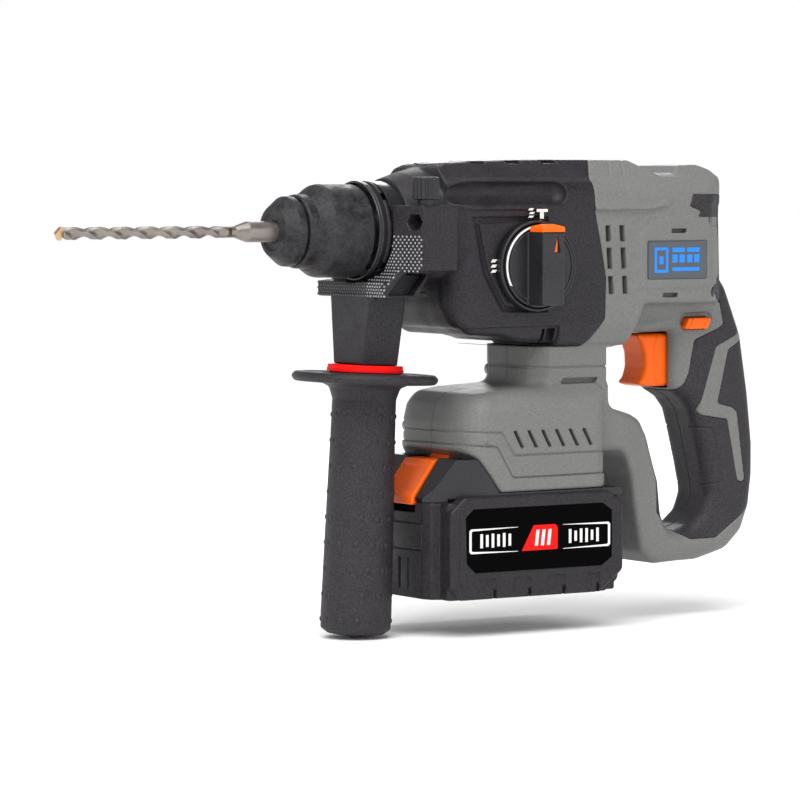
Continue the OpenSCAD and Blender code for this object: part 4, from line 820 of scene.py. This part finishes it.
def bracket_field(x, y, z):
    rho = np.hypot(y, z)
    face = np.maximum(59.3 - 0.43 * (y + 41), 52.6) - x
    body = rmax(saddle_front(y, z), np.maximum(face * 0.92, x - 61.3), 0.6)
    wing = smax(cuboid(x, y, z, (54, -40.9, -19), (79.9, -20, 12.4), 1.4), 31.6 - rho, 0.5)
    wing = rmax(wing, face * 0.92, 0.7)
    head = rmax(head_side(x, z), np.abs(y - 1.7) - 29.7, 1.6)
    # Leaning block between the wing and the head, with a pocket in its side
    block = rmax(block_side(x, z), np.maximum(-29.5 - y, y + 2), 0.9)
    lx, lz = leaning(x, z)
    up = lz - 3.6
    post = rmax(np.abs(lx) - 9.7 - 0.017 * up, (np.abs(y) - 14.4 - 0.131 * up) * 0.99, 1.7)
    post = rmax(post, np.maximum(-up, lz - 38), 0.8)
    body = np.minimum(np.minimum(body, wing), np.minimum(head, block))
    body = smax(body, -np.maximum(pocket_hole(x, z), y + 23.5), 0.4)
    body = smin(body, post, 0.8)
    cut = np.minimum(np.where(x < 53, rho - 25, rho - 24), np.maximum(rho - 31, 61.3 - x))
    body = smax(body, -cut, 0.3)
    a, b = np.abs(z - 4.5), np.abs(y + 36.2)
    hexagon = np.maximum(a, a * 0.5 + b * 0.866) - 3.637
    body = smax(body, -hexagon, 0.3)
    body = np.maximum(body, np.where(z > 4.5, 4.1, -9) - np.hypot(x - 65, y + 34.6))
    return smax(body, np.where(lz < 31, 4.2, -9) - np.hypot(lx, y), 0.3)


def lean_out(verts):
    """Turns a lathe about X into one about the leaning axis, its X pointing up."""
    v = np.asarray(verts, float)
    lx, lz = v[:, 2], v[:, 0]
    return np.stack([52.6 + lx * math.cos(RAKE) + lz * math.sin(RAKE), v[:, 1],
                     -68.4 - lx * math.sin(RAKE) + lz * math.cos(RAKE)], 1)


def add_side_handle():
    add_field("bracket_shell", bracket_field, (43, -42.5, -67), (81.5, 30, 14.5), "handle_body", BLACK,
              "black_plastic", ["handle_bracket"], step=0.5)
    add_pips()
    band = rounded([(53.7, 22.9), (53.7, 23.9), (61.3, 23.9), (61.3, 22.9)], 0.15)
    add_object("clamp_band_dull", *lathe(band, 192), "handle_body", BAND, "steel", ["clamp_band"])
    washer = rounded([(0.05, 4.2), (0.05, 18.6), (1.7, 18.6), (1.9, 18.3), (3.5, 18.2), (3.5, 4.2)],
                     [0, 0.25, 0.2, 0.2, 0.3, 0], seg=4)
    verts, faces = lathe(washer, 192)
    add_object("handle_washer_red", lean_out(verts), faces, "handle_body", RED, "red_plastic", ["handle_washer"])
    grip = rounded([(-0.3, 4.2), (-0.3, 20), (-0.9, 21), (-0.9, 29.5), (-0.4, 30.5), (-0.45, 34), (-2.6, 36),
                    (-5.1, 34.2), (-5.8, 21.0), (-7.4, 17.4), (-13, 15.5), (-30, 15.7), (-61.5, 16.35), (-119, 17.25),
                    (-124.2, 17.0), (-126.6, 13.8), (-127.9, 6), (-127.9, 0.2), (-60, 0.2), (-60, 4.2)],
                   [0, 0.5, 0.5, 0.5, 0.8, 1.6, 2.2, 2.2, 2.0, 2.5, 4, 6, 10, 6, 1.2, 2, 3, 0, 0, 0], seg=5)
    dense = []
    for a, b in zip(grip, np.roll(grip, -1, 0)):
        steps = max(1, int(np.linalg.norm(b - a) / 0.6)) if a[1] > 5 and b[1] > 5 else 1
        dense += [a + (b - a) * k / steps for k in range(steps)]

    def dots(x, r, t):
        row = np.round((x + 21) / 12.4)
        off = (x + 21 - row * 12.4) / 1.1
        col = (t / (2 * math.pi) * 12 + 0.25 * row + 0.5) % 1 - 0.5
        side = col * 2 * math.pi * 16 / 12 / 1.1
        d = off ** 2 + side ** 2
        ok = (row <= 0) & (row >= -8) & (r > 12) & (r < 18)
        return np.where(ok, 0.5 * np.exp(-d * 1.1) - 0.3 * np.exp(-(np.sqrt(d) - 1.7) ** 2 * 4), 0)
    verts, faces = lathe(dense, 432, dots)
    add_object("side_grip_soft", lean_out(verts), faces, "grip_body", RUBBER, "black_rubber", ["handle_grip"])


def add_lock_button():
    def button(x, y, z):
        rho, t = np.hypot(x - 65, y + 34.6), np.arctan2(y + 34.6, x - 65)
        flute = 0.35 * (1 - np.cos(18 * t)) * np.clip((25.8 - z) / 1.2, 0, 1)
        head = rmax(rho - 6.4 + flute, np.abs(z - 20.6) - 5.4, 0.8)
        dish = ball(x, y, z, (65, -34.6, 36.2), 10.7)
        return smax(np.minimum(head, np.maximum(rho - 3.95, np.abs(z - 13) - 3)), -dish, 0.3)
    add_field("lock_button_fluted", button, (57, -42.4, 9.5), (73, -27, 27), "lock_body", SLEEK, "black_plastic",
              ["depth_lock_button"], step=0.35)


# ---------- trigger and selector ----------

trigger_side = Outline([(208.6, -53.1), (211.4, -57.5), (213.6, -63), (213.9, -70), (212.3, -75.2), (209.2, -78.2),
                        (214, -79.7), (231.4, -79.7), (231.4, -53.1)], [1.2, 4, 6, 6, 4, 1.0, 2, 0.5, 0.5])


def add_trigger():
    def pull(x, y, z):
        body = rmax(trigger_side(x, z), np.abs(y) - 9.9, 2.6)
        line = np.abs(x - 218.6 - 0.06 * (z + 66) ** 2 / 4)
        body = smax(body, smin(0.35 - line, np.minimum(body + 0.4, np.abs(y) - 8.5), 0.2), 0.2)
        stem = np.maximum(np.hypot(y, z + 66) - 2.8, np.abs(x - 236) - 9)
        return np.minimum(body, stem)
    add_field("trigger_pull", pull, (207, -11, -81), (246, 11, -52), "trigger_body", ORANGE, "orange_plastic",
              ["trigger"], step=0.4)
    toggle_side = Outline([(230.3, -50.8), (244.9, -50.8), (247.7, -45.2), (233.1, -45.2)], 1.0)

    def toggle(x, y, z):
        body = rmax(toggle_side(x, z), np.abs(y) - 20.4, 0.7)
        for k in (-1, 1):
            line = np.abs(x - 238.9 - (z + 48) * 0.5 - k * 4.6)
            body = smax(body, smin(0.35 - line, np.minimum(body + 0.4, np.abs(y) - 18), 0.2), 0.2)
        return body
    add_field("selector_toggle", toggle, (229, -21.5, -52), (249, 21.5, -44), "selector_body", ORANGE,
              "orange_plastic", ["direction_selector"], step=0.35)


# ---------- battery ----------

case_outline = Outline([(72.5, -20), (74.5, -25), (78.5, -26.5), (78.5, -34.5), (180.9, -34.5), (180.9, 34.5),
                        (78.5, 34.5), (78.5, 26.5), (74.5, 25), (72.5, 20)], [1.5, 1.5, 0.5, 3, 4, 4, 3, 0.5, 1.5, 1.5])
panel_side = Outline([(78.1, -135.6), (86.5, -128.3), (171.9, -128.3), (180.7, -135), (180.7, -168), (167, -178.4),
                      (84, -178.4), (78.1, -172)], [2, 3, 3, 2, 4, 4, 3, 3])
label_side = Outline([(86.4, -138.2), (91, -134), (168, -134), (173.8, -138), (173.8, -161.5), (167.4, -165.6),
                      (92.3, -165.6), (87, -160.9)], 0.8)
pocket_side = Outline([(60, -136.6), (78.5, -136.6), (90, -120.8), (101.5, -120.8), (101.5, -100), (60, -100)], 0.5)
hump_side = Outline([(72.6, -131.1), (72.6, -129.3), (86, -110.9), (96, -110.9), (107.8, -127.4), (180.9, -127.4),
                     (180.9, -131.1)], [0.3, 1, 1.6, 2, 2.5, 1, 0.3])
hump_plan = Outline([(72.6, -20), (76.5, -26), (101, -34.5), (180.9, -34.5), (180.9, 34.5), (101, 34.5),
                     (76.5, 26), (72.6, 20)], [1.5, 2, 6, 3, 3, 6, 2, 1.5])


def lower_case(x, y, z):
    ay = np.abs(y)
    body = rmax(case_outline(x, y), np.maximum(z + 131.1, -178.4 - z), 1.2)
    panel = rmax(panel_side(x, z), ay - 37.1, 1.8)
    body = np.minimum(body, np.maximum(panel, 30 - ay))
    body = smax(body, -np.maximum(label_side(x, z), 36.75 - ay), 0.2)
    # Round bar along the panel's front edge and low pads between the base ribs
    body = smax(body, -np.maximum(np.abs(panel_side(x, z) + 5.0) - 0.4, np.maximum(x - 86.3, 36.7 - ay)), 0.5)
    for cx in (104.6, 125.1, 145.5, 166):
        pad = np.maximum(np.abs(x - cx + 5.4) - 5.4, z + 168.6)
        body = smax(body, -np.maximum(pad, 36.4 - ay), 0.25)
        body = smax(body, -np.maximum(np.maximum(np.abs(x - cx + 0.6) - 0.7, z + 173.5 + (36.5 - ay)), 34.6 - ay), 0.3)
    # Groove frame and ribs of the nose
    frame_line = np.abs(np.maximum(np.abs(z + 148.2) - 6.5, ay - 19.5)) - 0.4
    body = smax(body, -np.maximum(frame_line, x - 73.2), 0.2)
    for cy in range(-16, 17, 8):
        body = smax(body, -np.maximum(np.maximum(np.abs(y - cy) - 0.9, x - 73.4), np.abs(z + 166.5) - 7.5), 0.2)
    for px in (92, 116, 142, 166):
        body = smin(body, ball(x, ay, z, (px, 37.0 - 0.25, -130.9), 0.35), 0.2)
    body = smax(body, -np.maximum(pocket_side(x, z), ay - 13.6), 0.3)
    chamfer = (x - 180.9) * 0.605 - (z + 168) * 0.797 - 2.6
    body = smax(body, np.minimum(chamfer, ay - 29), 0.8)
    inner = cuboid(x, y, z, (80.4, -32.4, -176.5), (179.2, 32.4, -133.2), 1)
    return np.maximum(body, -np.maximum(inner, np.minimum(chamfer + 1.8, ay - 27)))


def upper_case(x, y, z):
    ay = np.abs(y)
    body = rmax(rmax(hump_side(x, z), hump_plan(x, y), 2.6), -131.0 - z, 0.2)
    return smax(body, -np.maximum(pocket_side(x, z), ay - 13.6), 0.3)


def release_field(x, y, z):
    side = release_side(x, z)
    body = rmax(side, np.abs(y) - 12.9, 1.0)
    up, out = (x - 71) * 0.6 + (z + 128.8) * 0.8, (z + 128.8) * 0.6 - (x - 71) * 0.8
    dish = np.maximum(np.maximum(np.abs(y) - 9.8, np.abs(up - 10.4) - 7.4), -1.2 + 0.011 * (y * y) - out)
    body = smax(body, -dish, 0.9)
    tongue = rmax(tongue_side(x, z), np.abs(y) - 7.9, 0.5)
    return np.minimum(body, tongue)


release_side = Outline([(71.0, -132.9), (74.4, -132.9), (77.5, -127.9), (88, -114.5), (94, -114.5), (94, -111.5),
                        (84, -111.5), (71.0, -128.8)], [0.8, 0.6, 1, 1, 0, 0.3, 1.5, 1.2])
tongue_side = Outline([(93, -117), (100.5, -117), (100.5, -107.9), (97.5, -107.9), (95, -111.5), (93, -111.5)], 0.3)


def add_battery():
    fine = 0.45
    add_field("battery_case_low", lower_case, (71, -38.5, -179.5), (182, 38.5, -127), "battery_body", BLACK,
              "black_plastic", ["battery_lower_case"], step=fine)
    add_field("battery_hump_cover", hump_only, (71, -36, -132), (109.4, 36, -109.5), "battery_body", SLEEK,
              "black_plastic", step=fine)
    add_field("release_button_dished", release_field, (70, -13.6, -134), (101.4, 13.6, -107), "release_body", ORANGE,
              "orange_plastic", ["battery_release_button"], step=0.4)
    edge = [(86.8, -138.4), (91.2, -134.4), (167.8, -134.4), (173.4, -138.2), (173.4, -161.3), (167.2, -165.2),
            (92.5, -165.2), (87.4, -160.7)]
    black, white, red = [edge], [], []
    box = [(88.6, -144.9), (89.6, -143.9), (171.6, -143.9), (172.6, -144.9), (172.6, -154.9), (171.6, -155.9),
           (89.6, -155.9), (88.6, -154.9)]
    left = [box[0], box[1], (117, -143.9), (117, -144.1), (90.5, -144.9), (89.9, -145.5)]
    left_low = [(89.9, -154.3), (90.5, -154.9), (117, -155.7), (117, -155.9), box[6], box[7]]
    left_end = [(88.6, -154.9), (88.6, -144.9), (89.9, -145.5), (89.9, -154.3)]
    for shape in (left, left_low, left_end):
        white.append(shape)
        white.append([(260.9 - u, v) for u, v in reversed(shape)])
    red.append([(119.4, -155.8), (126.4, -143.6), (139.2, -143.6), (140.6, -144.9), (140.6, -155.8)])
    for k in range(6):
        for u0, h in ((95 + 3.3 * k, 3.4 - 0.5 * (k % 2)), (147.4 + 3.3 * k, 3.4 - 0.9 * (k % 3 == 1))):
            white.append([(u0, -149.9 - h), (u0 + 1.5, -149.9 - h), (u0 + 1.5, -149.9 + h), (u0, -149.9 + h)])
    marks = [[(127.0 + 3.6 * k, -153.6), (128.8 + 3.6 * k, -153.6), (129.8 + 3.6 * k, -145.9),
              (128.0 + 3.6 * k, -145.9)] for k in range(3)]
    for side, word in ((-1, "left"), (1, "right")):
        def at(a):
            return sorted((side * a, side * (a + 0.12)))
        raised(f"label_{word}_black", black, side * 36.6, side * 36.96, "battery_body", INK, "label_black",
               ["battery_labels"] if side < 0 else ())
        raised(f"label_{word}_white", white, *at(36.94), "battery_body", WHITE, "white_plastic")
        raised(f"label_{word}_red", red, *at(36.93), "battery_body", RED, "red_plastic")
        raised(f"label_{word}_marks", marks, *at(36.99), "battery_body", WHITE, "white_plastic")


def hump_only(x, y, z):
    """The sloped nose of the upper case, a hair inside its CAD faces."""
    return rmax(upper_case(x, y, z), x - 108.6, 0.3)


def add_name_plate():
    plate = rounded([(198.4, -24.8), (234.6, -24.8), (234.6, -6.2), (198.4, -6.2)], 1.6, seg=5)
    for side, word in ((-1, "left"), (1, "right")):
        raised(f"name_plate_{word}", [[tuple(q) for q in plate]], side * 32.2, side * 32.72, "tool_body", PLATE,
               "plate", ["name_plates"] if side < 0 else ())
        blue = [[(202.2, -9.2), (210.6, -9.2), (210.6, -10.6), (202.2, -10.6)],
                [(202.2, -10.6), (203.6, -10.6), (203.6, -21.8), (202.2, -21.8)],
                [(209.2, -10.6), (210.6, -10.6), (210.6, -21.8), (209.2, -21.8)],
                [(203.6, -20.4), (209.2, -20.4), (209.2, -21.8), (203.6, -21.8)],
                [(205.2, -13.6), (207.6, -13.6), (207.6, -17.6), (205.2, -17.6)]]
        for u in (213.2, 222.4):
            blue += [[(u, -9.4), (u + 7.6, -9.4), (u + 7.6, -11.6), (u, -11.6)],
                     [(u, -12.8), (u + 3.2, -12.8), (u + 3.2, -16.8), (u, -16.8)],
                     [(u + 4.4, -12.8), (u + 7.6, -12.8), (u + 7.6, -16.8), (u + 4.4, -16.8)]]
        blue.append([(213.2, -19.2), (230.0, -19.2), (230.0, -21.0), (213.2, -21.0)])
        raised(f"name_plate_{word}_marks", blue, side * 32.7, side * 32.8, "tool_body", BLUE, "plate")


# ---------- springs ----------

def add_spring(node, body, start, length, r, w, turns, z0):
    """A coil of round wire along X, its turns closer together at both ends."""
    rings, sides = int(turns * 48), 16
    t = np.linspace(0, 1, rings + 1)[:, None]
    a = t * turns * 2 * np.pi
    b = np.arange(sides)[None, :] * 2 * np.pi / sides
    x = start + length * (t - 0.45 * np.sin(2 * np.pi * t) / (2 * np.pi)) + w * np.sin(b)
    out = r + w * np.cos(b)
    verts = np.stack([x, out * np.cos(a), z0 + out * np.sin(a)], 2).reshape(-1, 3)
    faces = [(i * sides + j, (i + 1) * sides + j, (i + 1) * sides + (j + 1) % sides, i * sides + (j + 1) % sides)
             for i in range(rings) for j in range(sides)]
    faces += [tuple(range(sides)), tuple(rings * sides + j for j in reversed(range(sides)))]
    obj = add_object(node + "_coil", verts, faces, body, STEEL, "steel", [node])
    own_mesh(obj)


# ---------- parts carried over from the CAD ----------

CARRIED = {
    "battery_upper_case": SLEEK, "bearing_bulkhead": CAST, "spindle_support": CAST, "spindle_bearings": STEEL,
    "spindle_oil_seal": RUBBER, "layshaft_bearings": STEEL, "motor_stator": DARK, "motor_windings": COPPER,
    "motor_bearings": STEEL, "switch_module": BLACK, "controller_board": BOARD, "terminal_block": BLACK,
    "motor_leads": LEAD, "housing_screws": DARK, "gear_housing_screws": DARK, "spindle": STEEL,
    "spindle_gear": STEEL, "locking_balls": STEEL, "locking_ring": DARK,
    "carbide_tip": CARBIDE, "beat_piece": DARK, "striker": STEEL, "piston": CAST, "piston_pin": STEEL,
    "wobble_ring": DARK, "layshaft": STEEL, "layshaft_gear": DARK, "wobble_hub": STEEL, "rotor_shaft": STEEL,
    "rotor_core": DARK, "cooling_fan": BLACK, "shift_plate": STEEL, "handle_bolt": STEEL,
    "battery_cells": WRAP, "cell_holder": PALE, "battery_board": BOARD}


def finish_carried():
    for name, material in CARRIED.items():
        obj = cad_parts[name]
        obj.data.materials.clear()
        obj.data.materials.append(material)
        edge = obj.modifiers.new("soft_edges", "BEVEL")
        edge.width = 0.00022
        edge.segments = 2
        edge.limit_method = "ANGLE"
        edge.angle_limit = math.radians(40)
        edge.harden_normals = True


add_grey()
add_gear_housing()
add_chuck()
add_bit()
add_dial()
add_side_handle()
add_lock_button()
add_trigger()
add_battery()
add_name_plate()
add_spring("chuck_spring", "spindle_body", 33.4, 11.1, 12.5, 0.75, 4, 0)
add_spring("trigger_spring", "tool_body", 231.8, 7.6, 4.4, 0.4, 2.5, -66)
finish_carried()


# ---------- picture ----------

FLOOR_Z = cad_box[0][2] - 0.0005


def stage_and_camera():
    """Pale floor, plain soft studio light and the long lens."""
    scene = bpy.context.scene
    scene.view_settings.view_transform = "Standard"
    scene.view_settings.look = "None"
    world = bpy.data.worlds.new("studio")
    world.use_nodes = True
    tree = world.node_tree
    coord, split = tree.nodes.new("ShaderNodeTexCoord"), tree.nodes.new("ShaderNodeSeparateXYZ")
    size, ramp = tree.nodes.new("ShaderNodeMath"), tree.nodes.new("ShaderNodeMapRange")
    size.operation = "ABSOLUTE"
    for key, value in (("From Min", 0.10), ("From Max", 0.45), ("To Min", 1.0), ("To Max", 0.30)):
        ramp.inputs[key].default_value = value
    tree.links.new(coord.outputs["Generated"], split.inputs["Vector"])
    tree.links.new(split.outputs["Z"], size.inputs[0])
    tree.links.new(size.outputs["Value"], ramp.inputs["Value"])
    tree.links.new(ramp.outputs["Result"], tree.nodes["Background"].inputs["Strength"])
    tree.nodes["Background"].inputs["Color"].default_value = (1, 1, 1, 1)
    scene.world = world
    mesh = bpy.data.meshes.new("floor")
    s = 30.0
    mesh.from_pydata([(-s, -s, FLOOR_Z), (s, -s, FLOOR_Z), (s, s, FLOOR_Z), (-s, s, FLOOR_Z)], [], [(0, 1, 2, 3)])
    mesh.materials.append(finish("floor_pale", (0.97, 0.97, 0.97), 0.9, grain=0.05, size=2, mottle=0.05))
    floor = bpy.data.objects.new("floor", mesh)
    scene.collection.objects.link(floor)
    sun = bpy.data.lights.new("soft_sky", "SUN")
    sun.energy, sun.angle = 2.6, math.radians(50)
    sky = bpy.data.objects.new("soft_sky", sun)
    sky.rotation_euler = (math.radians(24), math.radians(-22), 0)
    scene.collection.objects.link(sky)
    for name, at, size, power, aim in (
            ("key", (-1.3, -0.7, 0.9), (0.5, 0.5), 8, (0.08, 0, -0.05)),
            ("fill", (0.7, -1.6, 0.5), (0.8, 0.6), 4, (0.1, 0, -0.06)),
            ("top", (0.15, 0.2, 1.4), (1.0, 0.3), 4, (0.1, 0, 0)),
            ("rim", (0.9, 1.1, 0.6), (0.3, 0.8), 5, (0.1, 0, -0.03))):
        light = bpy.data.lights.new(name, "AREA")
        light.shape = "RECTANGLE"
        light.size, light.size_y = size
        light.energy = power
        lamp = bpy.data.objects.new(name, light)
        lamp.location = at
        lamp.rotation_euler = (Vector(aim) - Vector(at)).to_track_quat("-Z", "Y").to_euler()
        scene.collection.objects.link(lamp)
    cam = bpy.data.cameras.new("camera")
    cam.lens = 184.5
    cam.sensor_width = 36
    cam.clip_end = 20
    view = bpy.data.objects.new("camera", cam)
    view.location = (-1.01275, -1.67148, 0.03062)
    a, e = math.radians(33), math.radians(3.25)
    look = Vector((math.sin(a) * math.cos(e), math.cos(a) * math.cos(e), -math.sin(e)))
    view.rotation_euler = look.to_track_quat("-Z", "Y").to_euler()
    bpy.context.scene.collection.objects.link(view)
    bpy.context.scene.camera = view


stage_and_camera()
